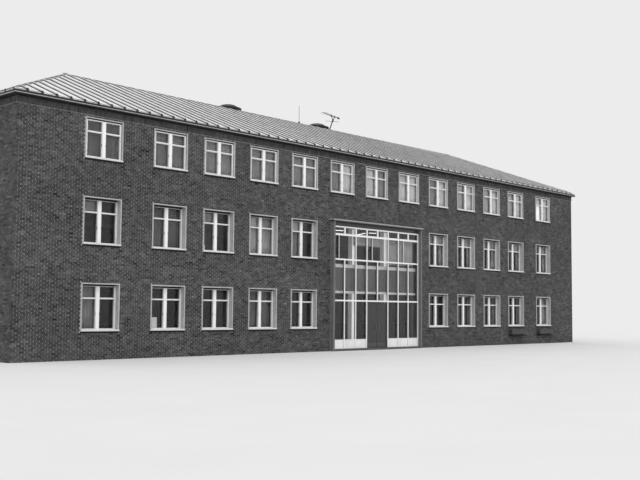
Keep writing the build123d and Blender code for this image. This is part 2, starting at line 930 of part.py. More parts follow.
def save_window_boxes():
    """The troughs under the last two ground-floor windows at the right."""
    places = [window_x(windows_each_side - 1), window_x(windows_each_side)]
    save("window_boxes", [joined(window_box(x), box_brackets(x)) for x in places])


os.makedirs("parts", exist_ok=True)
save_shell()
save_windows()
save_eaves()
save_roof()
save_roof_furniture()
save_portal()
save_screen()
save_hall()
save_doors()
save_window_boxes()
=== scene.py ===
import math
import random

import bpy
from mathutils import Matrix, Vector, noise


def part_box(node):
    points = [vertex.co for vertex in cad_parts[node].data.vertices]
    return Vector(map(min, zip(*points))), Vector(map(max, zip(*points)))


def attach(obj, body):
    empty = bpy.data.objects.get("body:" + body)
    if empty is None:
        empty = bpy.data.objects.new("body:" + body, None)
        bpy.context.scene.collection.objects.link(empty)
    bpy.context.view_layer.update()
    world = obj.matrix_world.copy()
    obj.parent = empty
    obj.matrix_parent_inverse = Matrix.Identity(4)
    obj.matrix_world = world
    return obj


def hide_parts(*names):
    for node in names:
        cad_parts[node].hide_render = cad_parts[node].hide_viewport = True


# Brick station building: materials, bricks, window frames, curtains and fittings round the fixed frame.
# Metres. X runs along the front, Y runs into the building, Z is up.

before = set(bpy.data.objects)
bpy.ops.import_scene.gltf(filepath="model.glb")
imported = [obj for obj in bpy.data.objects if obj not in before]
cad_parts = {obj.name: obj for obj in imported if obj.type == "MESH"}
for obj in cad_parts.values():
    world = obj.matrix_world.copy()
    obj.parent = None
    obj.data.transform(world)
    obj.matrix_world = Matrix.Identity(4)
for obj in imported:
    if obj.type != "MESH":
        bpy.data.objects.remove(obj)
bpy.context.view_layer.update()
draw = random.Random(7)

# The building, as in its source
HALF_LENGTH = 19.325
HALF_DEPTH = 5.725
STOREY = 3.15
COURSE = 0.075
WINDOW_PITCH = 2.534
END_OFFSET = 0.56
LAST_WINDOW = 6
WINDOW_WIDTH = 1.656
SILL_LEVEL = 1.023
WINDOW_HEIGHTS = (1.765, 1.765, 1.528)
RECESSES = (0.21, 0.23, 0.06)
SURROUND_FACE = 0.045
SILL_HEIGHT = 0.075
POST_WIDTH = 0.21
FRAME_DEPTH = 0.05
GLASS = 0.006
BAND_BOTTOM = 8.925
BAND_PROUD = 0.014
WALL_TOP = 9.21
PORTAL_HALF = 3.355
PORTAL_TOP = 6.088
SHEET_X = 19.495
SHEET_Y = 5.895
RIDGE_LEVEL = 11.83
EDGE_LEVEL = 9.385
RIDGE_HALF = 13.94
ROLL_PITCH = 0.577
CAP_HALF = 0.06
PEAK_RADIUS = 0.11
CAP_TOP = 0.034
GUTTER_FACE = 0.185
BOARD_TOP = 9.25
GUTTER_TOP = 9.335
SCREEN_BACK = -0.01
BAY = 0.8025
BAR = 0.07
PANEL_TOP = 0.48
DOOR_RAIL = 2.33
GLASS_HEAD = 5.4
HOPPER_FOOT = 5.435
HOPPER_HEAD = 5.729
HOPPER_FACE = -0.074
DOOR_HALF = 0.7175
DOOR_FOOT = 0.108
DOOR_TOP = 2.239
DOOR_FACE = -0.03
DOOR_THICKNESS = 0.045

BOX_FACES = ((4, 5, 7, 6), (0, 1, 5, 4), (0, 4, 6, 2), (1, 3, 7, 5), (0, 2, 3, 1), (2, 6, 7, 3))
BRICK_FACES = BOX_FACES[:5]
TURNS = {"front": 0, "back": 180, "left": -90, "right": 90}
SIDE_HALVES = {"front": HALF_LENGTH, "back": HALF_LENGTH, "left": HALF_DEPTH, "right": HALF_DEPTH}

# Directions of a face, past which it counts as looking down or along the front and takes painted shade
LOOKS_DOWN = -0.5
LOOKS_ALONG = 0.6
FINE_GRAIN = 90.0


def add_object(name, data):
    """A new object in the scene."""
    made = bpy.data.objects.new(name, data)
    bpy.context.scene.collection.objects.link(made)
    return made


def put(tree, kind, inputs, **settings):
    """Adds a node to a tree; its inputs are numbers or other nodes' outputs."""
    made = tree.nodes.new(kind)
    for key, value in settings.items():
        setattr(made, key, value)
    for key, value in inputs.items():
        if isinstance(value, bpy.types.NodeSocket):
            tree.links.new(value, made.inputs[key])
        else:
            made.inputs[key].default_value = value
    return made


class Paint:
    """A material whose grey tone, roughness and relief are worked out by nodes."""

    def __init__(self, name, **sockets):
        self.material = bpy.data.materials.new(name)
        self.material.use_nodes = True
        self.tree = self.material.node_tree
        self.shader = self.tree.nodes["Principled BSDF"]
        for key, value in sockets.items():
            self.shader.inputs[key.replace("_", " ")].default_value = value
        self.place = self.put("ShaderNodeTexCoord", {}).outputs["Object"]

    def put(self, kind, inputs, **settings):
        """Adds a node to the material."""
        return put(self.tree, kind, inputs, **settings)

    def math(self, operation, *values):
        """The result of a sum on numbers or outputs."""
        return self.put("ShaderNodeMath", dict(enumerate(values)), operation=operation).outputs[0]

    def product(self, *values):
        """Several outputs or numbers multiplied."""
        result = values[0]
        for value in values[1:]:
            result = self.math("MULTIPLY", result, value)
        return result

    def axes(self):
        """The three coordinates of a point on the piece."""
        return self.put("ShaderNodeSeparateXYZ", {"Vector": self.place}).outputs

    def facing(self, axis):
        """How far a face looks along one axis."""
        normal = self.put("ShaderNodeNewGeometry", {}).outputs["True Normal"]
        return self.put("ShaderNodeSeparateXYZ", {"Vector": normal}).outputs[axis]

    def noise(self, scale, detail=4.0, stretch=(1.0, 1.0, 1.0)):
        """Cloudy noise with about this many patches a metre."""
        mapped = self.put("ShaderNodeMapping", {"Vector": self.place, "Scale": stretch})
        inputs = {"Vector": mapped.outputs[0], "Scale": scale, "Detail": detail}
        return self.put("ShaderNodeTexNoise", inputs).outputs["Fac"]

    def spread(self, value, low, high, start=0.3, end=0.7):
        """A value between start and end brought to between low and high."""
        inputs = {"Value": value, "From Min": start, "From Max": end, "To Min": low, "To Max": high}
        return self.put("ShaderNodeMapRange", inputs).outputs["Result"]

    def switch(self, value, low, high):
        """Low where a value is 0 and high where it is 1."""
        return self.spread(value, low, high, 0.0, 1.0)

    def cloud(self, scale, low, high, detail=4.0, stretch=(1.0, 1.0, 1.0)):
        """Noise brought to between low and high."""
        return self.spread(self.noise(scale, detail, stretch), low, high)

    def link(self, value, socket):
        """Leads an output into the shader."""
        self.tree.links.new(value, self.shader.inputs[socket])

    def shaded_underside(self, value, share):
        """A tone that falls to a share of itself on faces that look down: painted shade on undersides."""
        if share >= 1.0:
            return value
        down = self.math("LESS_THAN", self.facing("Z"), LOOKS_DOWN)
        return self.product(value, self.switch(down, 1.0, share))

    def shaded_sides(self, value, share):
        """A tone that falls to a share of itself on upright faces that look along the front: painted shade
        on those sides.
        """
        if share >= 1.0:
            return value
        along = self.math("GREATER_THAN", self.math("ABSOLUTE", self.facing("X")), LOOKS_ALONG)
        return self.product(value, self.switch(along, 1.0, share))

    def finish(self, tone, height, depth, roughness=None):
        """The material in a grey tone, with small bumps of a depth in metres."""
        self.link(tone, "Base Color")
        if roughness is not None:
            self.link(roughness, "Roughness")
        bump = self.put("ShaderNodeBump", {"Height": height, "Distance": depth, "Strength": 1.0})
        self.link(bump.outputs[0], "Normal")
        return self.material


def worn_and_shaded(name, tone, spread, scale, rough, streaks=0.0, relief=0.0008, underside_shade=1.0, side=1.0, **sockets):
    """A finish with soft patches, fine grain and streaks that rain has left, with painted shade on faces
    that look down and on upright faces that look along the front.
    """
    paint = Paint(name, **sockets)
    fine = paint.noise(FINE_GRAIN, 3.0)
    patches = paint.cloud(scale, 1.0 - spread, 1.0 + spread, 5.0)
    value = paint.product(patches, paint.spread(fine, 1.0 - spread / 2, 1.0 + spread / 2))
    if streaks:
        runs = paint.noise(scale * 2, 3.0, stretch=(1.0, 1.0, 0.06))
        value = paint.product(value, paint.spread(runs, 1.0, 1.0 - streaks, 0.48, 0.72))
    value = paint.shaded_sides(paint.shaded_underside(value, underside_shade), side)
    roughness = paint.cloud(scale * 3, rough - 0.1, rough + 0.1, 3.0)
    return paint.finish(paint.product(value, tone), fine, relief, roughness)


SHADED_BED_TONE = 0.075
PERPEND_TONE = 0.46
BED_HALF = 0.0068
FACE_DEPTH = 0.02
SHADED_PLASTER = 0.04
PALE_PLASTER = 0.62


def wall_paint():
    """Sandy mortar outside, pale in upright joints and painted dark in level ones as the shade in raked
    joints, and plaster inside, painted near black below the first floor as shade in unlit rooms.
    """
    paint = Paint("mortar_and_plaster", Roughness=0.9)
    axes = paint.axes()
    past_end = paint.math("SUBTRACT", paint.math("ABSOLUTE", axes["X"]), HALF_LENGTH - FACE_DEPTH)
    past_face = paint.math("SUBTRACT", paint.math("ABSOLUTE", axes["Y"]), HALF_DEPTH - FACE_DEPTH)
    outside = paint.math("GREATER_THAN", paint.math("MAXIMUM", past_end, past_face), 0.0)
    sand = paint.noise(260.0, 3.0)
    from_bed = paint.math("PINGPONG", axes["Z"], COURSE / 2)
    under_band = paint.math("LESS_THAN", axes["Z"], BAND_BOTTOM)
    upright = paint.product(paint.math("GREATER_THAN", from_bed, BED_HALF), under_band)
    # Joints take a dark tone as painted shade in raked joints, except upright joints below the band, which
    # keep the mortar's pale tone.
    joint = paint.switch(upright, SHADED_BED_TONE, PERPEND_TONE)
    mortar = paint.product(joint, paint.spread(sand, 0.8, 1.2), paint.cloud(0.9, 0.85, 1.15))
    # Plaster below the first floor is painted near black as shade in unlit rooms.
    storey = paint.switch(paint.math("GREATER_THAN", axes["Z"], STOREY), SHADED_PLASTER, PALE_PLASTER)
    plaster = paint.product(storey, paint.cloud(3.0, 0.88, 1.12))
    mixed = paint.product(paint.math("SUBTRACT", mortar, plaster), outside)
    return paint.finish(paint.math("ADD", plaster, mixed), sand, 0.0012)


def brick_paint():
    """Rough dark brick; each brick's own tone comes with its points."""
    paint = Paint("rough_brick", Roughness=0.88, Specular_IOR_Level=0.3)
    own = paint.put("ShaderNodeAttribute", {}, attribute_name="tone").outputs["Fac"]
    flecks = paint.cloud(24.0, 0.45, 1.55, 6.0)
    patches = paint.product(paint.cloud(0.5, 0.88, 1.14, 3.0), paint.cloud(4.0, 0.75, 1.28, 2.0))
    # Faces of the bricks that look down are painted darker as shade.
    tone = paint.shaded_underside(paint.product(paint.switch(own, 0.008, 0.128), flecks, patches), 0.4)
    return paint.finish(tone, paint.noise(150.0, 5.0), 0.003, paint.cloud(35.0, 0.8, 0.95))


def roof_paint(axis):
    """Pale metal pans, each a little different, with painted shade along the rolls."""
    paint = Paint("roof_pans_" + axis, Metallic=0.35)
    place = paint.math("DIVIDE", paint.axes()[axis], ROLL_PITCH)
    pan = paint.put("ShaderNodeTexWhiteNoise", {"W": paint.math("FLOOR", place)}, noise_dimensions="1D")
    from_roll = paint.math("PINGPONG", place, 0.5)
    # Painted shade of the rolls on the pans, kept lighter on the pans' upright edge faces.
    roll_shade = paint.spread(from_roll, 0.10, 1.0, 0.10, 0.18)
    upright = paint.math("LESS_THAN", paint.facing("Z"), 0.5)
    edge = paint.product(upright, paint.spread(from_roll, 0.0, 0.8, 0.095, 0.125))
    along = (1.0, 0.15, 0.15) if axis == "X" else (0.15, 1.0, 0.15)
    own = paint.switch(pan.outputs["Value"], 0.72, 0.86)
    runs = paint.cloud(7.0, 0.90, 1.08, 5.0, along)
    tone = paint.product(own, runs, paint.math("MAXIMUM", roll_shade, edge))
    return paint.finish(tone, paint.noise(3.0, 3.0), 0.004, paint.cloud(2.5, 0.38, 0.6, 5.0))


CEILING_TONE = 0.85
FLOOR_SHARE = 0.25


def slab_paint():
    """Concrete floors with whitewashed ceilings below them."""
    paint = Paint("concrete_and_ceiling", Roughness=0.9)
    fine = paint.noise(FINE_GRAIN, 3.0)
    tone = paint.product(paint.cloud(2.5, 0.88, 1.12, 5.0), paint.spread(fine, 0.95, 1.05), CEILING_TONE)
    down = paint.math("LESS_THAN", paint.facing("Z"), LOOKS_DOWN)
    return paint.finish(paint.product(tone, paint.switch(down, FLOOR_SHARE, 1.0)), fine, 0.0008)


UPSTAND_CAP_FOOT = 3.875
UPSTAND_TRIM_FOOT = 2.6705
UPSTAND_TRIM_HEAD = 2.78


def upstand_paint():
    """A dark pleated board with a pale cap and a pale trim at its foot."""
    paint = Paint("upstand", Roughness=0.6)
    level = paint.axes()["Z"]
    cap = paint.math("GREATER_THAN", level, UPSTAND_CAP_FOOT)
    over_foot = paint.math("GREATER_THAN", level, UPSTAND_TRIM_FOOT)
    trim = paint.product(over_foot, paint.math("LESS_THAN", level, UPSTAND_TRIM_HEAD))
    pale = paint.math("MAXIMUM", cap, trim)
    pleats = paint.noise(16.0, 2.0, (1.0, 1.0, 0.02))
    tone = paint.math("ADD", paint.spread(pleats, 0.08, 0.15), paint.product(pale, 0.72))
    return paint.finish(paint.product(tone, paint.cloud(5.0, 0.9, 1.1)), pleats, 0.003)


SILL_FOOT_SHADE = 0.016
BOARD_EDGE_SHADE = 0.010


def sill_paint():
    """Pale cast sills with the foot of their faces painted near black and their undersides darker, as
    painted shade.
    """
    paint = Paint("cast_sill", Roughness=0.8)
    level = paint.math("MODULO", paint.math("SUBTRACT", paint.axes()["Z"], SILL_LEVEL - STOREY), STOREY)
    unshaded = paint.math("GREATER_THAN", level, SILL_FOOT_SHADE)
    patches = paint.product(paint.cloud(5.0, 0.9, 1.1, 5.0), paint.cloud(FINE_GRAIN, 0.95, 1.05))
    tone = paint.shaded_underside(paint.product(patches, paint.switch(unshaded, 0.04, 0.64)), 0.1)
    return paint.finish(tone, paint.noise(FINE_GRAIN), 0.0012)


def edge_board_paint():
    """A pale painted board, with the lower side of its edge painted near black and its underside darker, as
    painted shade.
    """
    paint = Paint("eaves_edge_board", Roughness=0.7)
    unshaded = paint.math("GREATER_THAN", paint.axes()["Z"], BOARD_TOP - BOARD_EDGE_SHADE)
    patches = paint.product(paint.cloud(3.0, 0.85, 1.15, 5.0), paint.cloud(FINE_GRAIN, 0.9, 1.1))
    tone = paint.shaded_underside(paint.product(patches, paint.switch(unshaded, 0.03, 0.46)), 0.4)
    return paint.finish(tone, paint.noise(FINE_GRAIN), 0.0008)


def pillar_paint():
    """Pale plaster that glows as painted light, standing for daylight in the hall, with painted shade on the
    sides that look along the front.
    """
    paint = Paint("pillar_plaster_painted_light", Roughness=0.8, Emission_Strength=0.42)
    tone = paint.shaded_sides(paint.cloud(2.0, 0.82, 0.90, 5.0), 0.35)
    paint.link(tone, "Emission Color")
    return paint.finish(tone, paint.noise(FINE_GRAIN), 0.0008)


def board_paint(name, tone, rough, underside_shade=1.0):
    """Painted or varnished timber with upright grain; faces that look down can take painted shade."""
    paint = Paint(name)
    grain = paint.noise(60.0, 6.0, (1.0, 1.0, 0.07))
    value = paint.shaded_underside(paint.product(paint.spread(grain, 0.75, 1.25), tone), underside_shade)
    return paint.finish(value, grain, 0.0008, paint.cloud(12.0, rough - 0.08, rough + 0.08))


def glass_paint(name, shade, bend):
    """Clear, slightly uneven window glass; a low bend keeps the bright sky from showing in it."""
    paint = Paint(name, Transmission_Weight=1.0, IOR=bend)
    tone = paint.cloud(0.8, shade - 0.015, shade + 0.015, 2.0)
    return paint.finish(tone, paint.noise(1.3, 1.0), 0.002, paint.cloud(4.0, 0.0, 0.03, 3.0))


def cloth_paint(name, tone):
    """Woven curtain cloth."""
    paint = Paint(name, Roughness=0.95, Sheen_Weight=0.15)
    warp = paint.noise(420.0, 2.0, (1.0, 1.0, 0.1))
    weft = paint.noise(420.0, 2.0, (0.1, 0.1, 1.0))
    weave = paint.math("ADD", warp, weft)
    patches = paint.cloud(2.2, 0.85, 1.12, 3.0)
    threads = paint.spread(weave, 0.88, 1.12, 0.7, 1.3)
    return paint.finish(paint.product(threads, patches, tone), weave, 0.0006)


def soil_paint():
    """Dark crumbly soil."""
    paint = Paint("soil", Roughness=0.95)
    crumbs = paint.noise(55.0, 8.0)
    return paint.finish(paint.spread(crumbs, 0.015, 0.06), crumbs, 0.01)


WHITE = (1, 1, 1, 1)

PAINTS = {
    "wall": wall_paint(),
    "brick": brick_paint(),
    "roof_x": roof_paint("X"),
    "roof_y": roof_paint("Y"),
    "cap": worn_and_shaded("cap_metal", 0.15, 0.18, 3.0, 0.5, Metallic=0.35),
    "cover": worn_and_shaded("cover_metal", 0.45, 0.18, 3.0, 0.5, Metallic=0.35),
    "roll": worn_and_shaded("roll_metal", 0.58, 0.2, 2.0, 0.55, Metallic=0.2),
    # Painted shade: feet of the rolls' sides and the rolls' lower ends.
    "shaded_roll_foot": worn_and_shaded("shaded_roll_foot", 0.03, 0.2, 2.0, 0.8),
    "roll_end_shade": worn_and_shaded("roll_end", 0.004, 0.1, 9.0, 0.8),
    # Painted shadow line under the pans' lower edges.
    "pan_edge_shadow": worn_and_shaded("pan_edge_shadow", 0.01, 0.2, 9.0, 0.7),
    # Gutter and straps: undersides painted at half tone as shade.
    "gutter": worn_and_shaded("gutter_paint", 0.014, 0.2, 2.0, 0.6, streaks=0.3, underside_shade=0.5),
    "bracket": worn_and_shaded("gutter_bracket", 0.012, 0.2, 14.0, 0.6, underside_shade=0.5),
    "eaves": board_paint("eaves_board", 0.05, 0.6),
    "board": edge_board_paint(),
    "bead": worn_and_shaded("eaves_bead", 0.46, 0.15, 3.0, 0.7, streaks=0.2),
    "pointing": worn_and_shaded("band_pointing", 0.24, 0.3, 6.0, 0.9),
    "sill": sill_paint(),
    # Window surrounds: undersides painted near black as shade.
    "stone": worn_and_shaded("cast_surround", 0.44, 0.10, 5.0, 0.8, streaks=0.18, relief=0.0012, underside_shade=0.04),
    # Portal head, threshold and jambs: undersides painted dark as shade.
    "portal": worn_and_shaded("portal_stone", 0.085, 0.14, 4.0, 0.75, streaks=0.22, relief=0.001, underside_shade=0.1),
    "jamb": worn_and_shaded("jamb_stone", 0.15, 0.14, 4.0, 0.75, streaks=0.22, relief=0.001, underside_shade=0.1),
    "flashing": worn_and_shaded("portal_flashing", 0.34, 0.14, 6.0, 0.6, streaks=0.2),
    "white": worn_and_shaded("white_gloss", 0.84, 0.04, 6.0, 0.35, streaks=0.06, relief=0.0002),
    # Window frames: sides that look along the front painted darker as shade.
    "frame": worn_and_shaded("frame_gloss", 0.88, 0.04, 6.0, 0.35, streaks=0.06, relief=0.0002, side=0.4),
    # Frame gloss at half tone: painted shade on the head rails.
    "shaded_head_rail": worn_and_shaded("gloss_in_painted_shade", 0.42, 0.12, 6.0, 0.45, streaks=0.2, relief=0.0002),
    # Entrance screen: sides that look along the front painted darker as shade.
    "screen": worn_and_shaded("screen_gloss", 0.86, 0.04, 6.0, 0.35, streaks=0.06, relief=0.0002, side=0.22),
    "panel": worn_and_shaded("white_panel", 0.84, 0.05, 3.0, 0.4, streaks=0.12, relief=0.0003),
    "dark": worn_and_shaded("dark_gloss", 0.05, 0.15, 6.0, 0.4, relief=0.0002),
    # Near black for strips and bearers that stand for shadow: at window heads and jambs, under sash bars,
    # under sills and window boxes and at the portal slab's sides.
    "gap": worn_and_shaded("painted_shadow_black", 0.006, 0.1, 6.0, 0.8),
    "cowl": worn_and_shaded("cowl_paint", 0.065, 0.2, 5.0, 0.55, streaks=0.2),
    "brim": worn_and_shaded("cowl_brim", 0.004, 0.2, 5.0, 0.7),
    "grey_metal": worn_and_shaded("grey_pipe", 0.30, 0.15, 12.0, 0.5, Metallic=0.4),
    "slat": worn_and_shaded("blind_slat", 0.72, 0.06, 12.0, 0.5),
    "aerial": worn_and_shaded("aerial_tube", 0.008, 0.2, 30.0, 0.6),
    "fastening": worn_and_shaded("fastening", 0.35, 0.1, 60.0, 0.3, Metallic=0.9),
    "concrete": slab_paint(),
    "upstand": upstand_paint(),
    "plaster": pillar_paint(),
    "door": board_paint("door_boards", 0.036, 0.35),
    # Window boxes: undersides painted near black as shade.
    "box": board_paint("box_boards", 0.048, 0.6, 0.05),
    "plate": worn_and_shaded("dull_plate", 0.10, 0.15, 30.0, 0.45, Metallic=0.6),
    "handle": worn_and_shaded("satin_pull", 0.22, 0.05, 40.0, 0.4, Metallic=0.9, relief=0.0001),
    "lit": worn_and_shaded("lit_tube", 0.9, 0.02, 9.0, 0.4, Emission_Color=WHITE, Emission_Strength=1.1),
    # A card that glows without a lamp: painted light.
    "card_painted_glow": worn_and_shaded("card_painted_glow", 0.85, 0.03, 9.0, 0.8, Emission_Color=WHITE, Emission_Strength=0.45),
    "glass": glass_paint("window_glass", 0.98, 1.33),
    "soil": soil_paint(),
}


def circle(radius, sides):
    """Points round a circle in plan."""
    angles = [2 * math.pi * n / sides for n in range(sides)]
    return [(radius * math.cos(angle), radius * math.sin(angle)) for angle in angles]


class Shape:
    """Points and faces collected for one piece, with a tone for each point and a paint for each face."""

    def __init__(self):
        self.points = []
        self.faces = []
        self.tones = []
        self.paints = []

    def add(self, points, faces, tone=0.5, paint=0):
        first = len(self.points)
        self.points.extend(tuple(p) for p in points)
        self.faces.extend(tuple(first + n for n in face) for face in faces)
        self.tones.extend([tone] * len(points))
        self.paints.extend([paint] * len(faces))

    def box(self, low, high, tone=0.5, paint=0, faces=BOX_FACES):
        xs, ys, zs = zip(low, high)
        self.add([(x, y, z) for z in zs for y in ys for x in xs], faces, tone, paint)

    def twins(self, low, high, paint=0):
        """A box and its mirror image in x."""
        self.box((-high[0], low[1], low[2]), (-low[0], high[1], high[2]), paint=paint)
        self.box(low, high, paint=paint)

    def merge(self, other, matrix):
        """Adds a copy of another shape, set in place by a matrix."""
        first = len(self.points)
        self.points.extend(tuple(matrix @ Vector(p)) for p in other.points)
        self.faces.extend(tuple(first + n for n in face) for face in other.faces)
        self.tones.extend(other.tones)
        self.paints.extend(other.paints)

    def moved(self, matrix):
        """A copy set in place by a matrix."""
        copy = Shape()
        copy.merge(self, matrix)
        return copy

    def sweep(self, sections, paint=0):
        """A closed bar through several outlines that have the same number of points; its ends come last."""
        count = len(sections[0])
        last = count * (len(sections) - 1)
        faces = []
        for low in range(0, last, count):
            for n in range(count):
                step = (n + 1) % count
                faces.append((low + n, low + step, low + count + step, low + count + n))
        faces.append(tuple(reversed(range(count))))
        faces.append(tuple(range(last, last + count)))
        self.add([p for section in sections for p in section], faces, paint=paint)

    def extrude(self, outline, x0, x1, paint=0):
        """A bar along x with an outline of (y, z) points."""
        self.sweep([[(x, y, z) for y, z in outline] for x in (x0, x1)], paint)

    def tube(self, start, end, radius, sides=10, paint=0):
        """A round bar between two points."""
        start, end = Vector(start), Vector(end)
        turn = (end - start).to_track_quat("Z", "Y")
        ring = [turn @ Vector((x, y, 0)) for x, y in circle(radius, sides)]
        self.sweep([[centre + out for out in ring] for centre in (start, end)], paint)

    def turned(self, profile, centre, sides, paint=0):
        """A round form from (radius, level) points, lowest first."""
        cx, cy, cz = centre
        rings = [[(cx + x, cy + y, cz + z) for x, y in circle(radius, sides)] for radius, z in profile]
        self.sweep(rings, paint)


def make(name, shape, paints, body="root", bevel=0.0, smooth=None, solid=0.0, hides=()):
    """Turns a shape into a piece that rides on a body."""
    mesh = bpy.data.meshes.new(name)
    mesh.from_pydata(shape.points, [], shape.faces)
    mesh.attributes.new("tone", "FLOAT", "POINT").data.foreach_set("value", shape.tones)
    for paint in paints:
        mesh.materials.append(PAINTS[paint])
    mesh.polygons.foreach_set("material_index", shape.paints)
    if smooth is not None:
        mesh.shade_smooth()
        mesh.set_sharp_from_angle(angle=math.radians(smooth))
    mesh.update()
    piece = add_object(name, mesh)
    if solid:
        piece.modifiers.new("thickness", "SOLIDIFY").thickness = solid
    if bevel:
        soften(piece, bevel)
    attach(piece, body)
    if hides:
        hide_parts(*hides)
    return piece


def soften(piece, width, weld=False):
    """Small chamfers on every sharp edge."""
    if weld:
        piece.modifiers.new("weld", "WELD").merge_threshold = 0.0001
    modifier = piece.modifiers.new("edges", "BEVEL")
    modifier.width = width
    modifier.segments = 1
    modifier.limit_method = "ANGLE"
    modifier.angle_limit = math.radians(40)


def dress(node, paint, bevel=0.0):
    """Gives a node of the fixed frame its finish."""
    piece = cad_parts[node]
    piece.data.materials.clear()
    piece.data.materials.append(PAINTS[paint])
    for face in piece.data.polygons:
        face.use_smooth = False
    if bevel:
        soften(piece, bevel, weld=True)


def side_matrix(side):
    """Brings a side's own frame, x to the right seen from outside and y inwards, into place."""
    turn = Matrix.Rotation(math.radians(TURNS[side]), 4, "Z")
    back = HALF_LENGTH if side in ("left", "right") else HALF_DEPTH
    return turn @ Matrix.Translation((0, -back, 0))


def window_x(number):
    """Centre of a window counted from the middle of a long wall."""
    offset = END_OFFSET if abs(number) == LAST_WINDOW else 0.0
    return number * WINDOW_PITCH + math.copysign(offset, number)


def window_numbers(side, level):
    """The numbers of the windows of one storey on one side."""
    if side in ("left", "right"):
        return [0]
    entrance = side == "front" and level < 2
    return [n for n in range(-LAST_WINDOW, LAST_WINDOW + 1) if not (entrance and abs(n) <= 1)]


def all_windows():
    """The side, level and number of every window."""
    return [(side, level, n) for side in TURNS for level in range(3) for n in window_numbers(side, level)]


def sill_z(level):
    """Underside of the sills of one storey."""
    return SILL_LEVEL + level * STOREY


def behind_glass(level):
    """How far the inner face of one storey's glass lies behind the wall's face."""
    return RECESSES[level] + FRAME_DEPTH + GLASS


def window_matrix(side, level, number):
    """Brings a window's own frame, with its sill at the bottom, into place."""
    return side_matrix(side) @ Matrix.Translation((window_x(number), 0, sill_z(level)))


def openings(side):
    """The windows and the entrance of one side as left, right, bottom and top."""
    holes = []
    for level, height in enumerate(WINDOW_HEIGHTS):
        for number in window_numbers(side, level):
            x = window_x(number)
            holes.append((x - WINDOW_WIDTH / 2, x + WINDOW_WIDTH / 2, sill_z(level), sill_z(level) + height))
    if side == "front":
        holes.append((-PORTAL_HALF, PORTAL_HALF, 0, PORTAL_TOP))
    return holes


JOINT = 0.010
BRICK_PROUD = 0.004
BRICK_FOOT = 0.001
UNEVEN = 0.0012
THINNEST_SPAN = 0.015
SHORTEST_BRICK = 0.03
HALF_BRICKS = {"front": 343, "back": 343, "left": 101, "right": 101}
STAIN_DROP = 0.9
STAIN_REACH = 0.16
STAIN_DEPTH = 0.22
BAND_BRICK_TOP = BAND_BOTTOM + 0.219
TOP_COURSE_FOOT = BAND_BOTTOM + 0.230
BRICK_LENGTH = 0.225


def free_spans(low, high, left, right, holes):
    """Stretches of one course that no opening takes, with their own bottom and top."""
    crossing = [h for h in holes if h[2] < high and h[3] > low]
    edges = sorted({left, right} | {x for h in crossing for x in h[:2] if left < x < right})
    for start, end in zip(edges, edges[1:]):
        middle = (start + end) / 2
        bottom, top = low, high
        for h in crossing:
            if h[0] < middle < h[1]:
                if h[2] > low:
                    top = min(top, h[2])
                else:
                    bottom = max(bottom, h[3])
        if top - bottom > THINNEST_SPAN:
            yield start, end, bottom, top


def stain(x, z, holes):
    """How much darker a brick is under a sill's ends, from the water that runs off there."""
    dark = 0.0
    for left, right, bottom, _ in holes:
        below = bottom - z
        near = min(abs(x - left), abs(x - right))
        if 0 < below < STAIN_DROP and near < STAIN_REACH:
            dark = max(dark, STAIN_DEPTH * (1 - below / STAIN_DROP) * (1 - near / STAIN_REACH))
    return dark


def brick_tone(x, z):
    """A brick's own tone: mostly alike, some burnt dark, a few pale."""
    tone = draw.gauss(0.47, 0.13)
    chance = draw.random()
    if chance < 0.04:
        tone -= 0.16
    elif chance > 0.94:
        tone += 0.2
    return tone + 0.10 * noise.noise((x * 0.25, z * 0.4, 3.0))


def corner_reach(side):
    """How far a side's bricks run on past the wall's corner, to cover the ends of the next side's."""
    return BRICK_PROUD if side in ("front", "back") else 0.0


def lay_bricks(side, left, right):
    """Stretcher bond over a stretch of one side, cut round its openings."""
    shape = Shape()
    half = SIDE_HALVES[side]
    holes = openings(side)
    stretcher = 4 * half / HALF_BRICKS[side]
    corner = corner_reach(side)
    for row in range(round(BAND_BOTTOM / COURSE)):
        low = row * COURSE
        offset = 0.0 if row % 2 else stretcher / 2
        for start, end, bottom, top in free_spans(low, low + COURSE, left, right, holes):
            x = -half + offset + math.floor((start + half - offset) / stretcher) * stretcher
            while x < end - 2 * JOINT:
                x0 = max(x, start) + JOINT / 2
                x1 = min(x + stretcher, end) - JOINT / 2
                if x <= -half + 0.001 or start <= -half and x0 < -half + JOINT:
                    x0 = -half - corner
                if x1 > half - JOINT:
                    x1 = half + corner
                if x1 - x0 > SHORTEST_BRICK:
                    proud = BRICK_PROUD + draw.uniform(-UNEVEN, UNEVEN)
                    z0 = bottom + JOINT / 2 + draw.uniform(0, UNEVEN)
                    z1 = top - JOINT / 2 - draw.uniform(0, UNEVEN)
                    tone = brick_tone(x, low) - stain((x0 + x1) / 2, low, holes)
                    shape.box((x0, -proud, z0), (x1, BRICK_FOOT, z1), tone, faces=BRICK_FACES)
                x += stretcher
    return shape.moved(side_matrix(side))


def even_spans(reach, length):
    """Bricks of about one length side by side between two ends, with joints between them."""
    count = round(2 * reach / length)
    edges = [-reach + 2 * reach * n / count for n in range(count + 1)]
    return [(start + JOINT / 2, end - JOINT / 2) for start, end in zip(edges, edges[1:])]


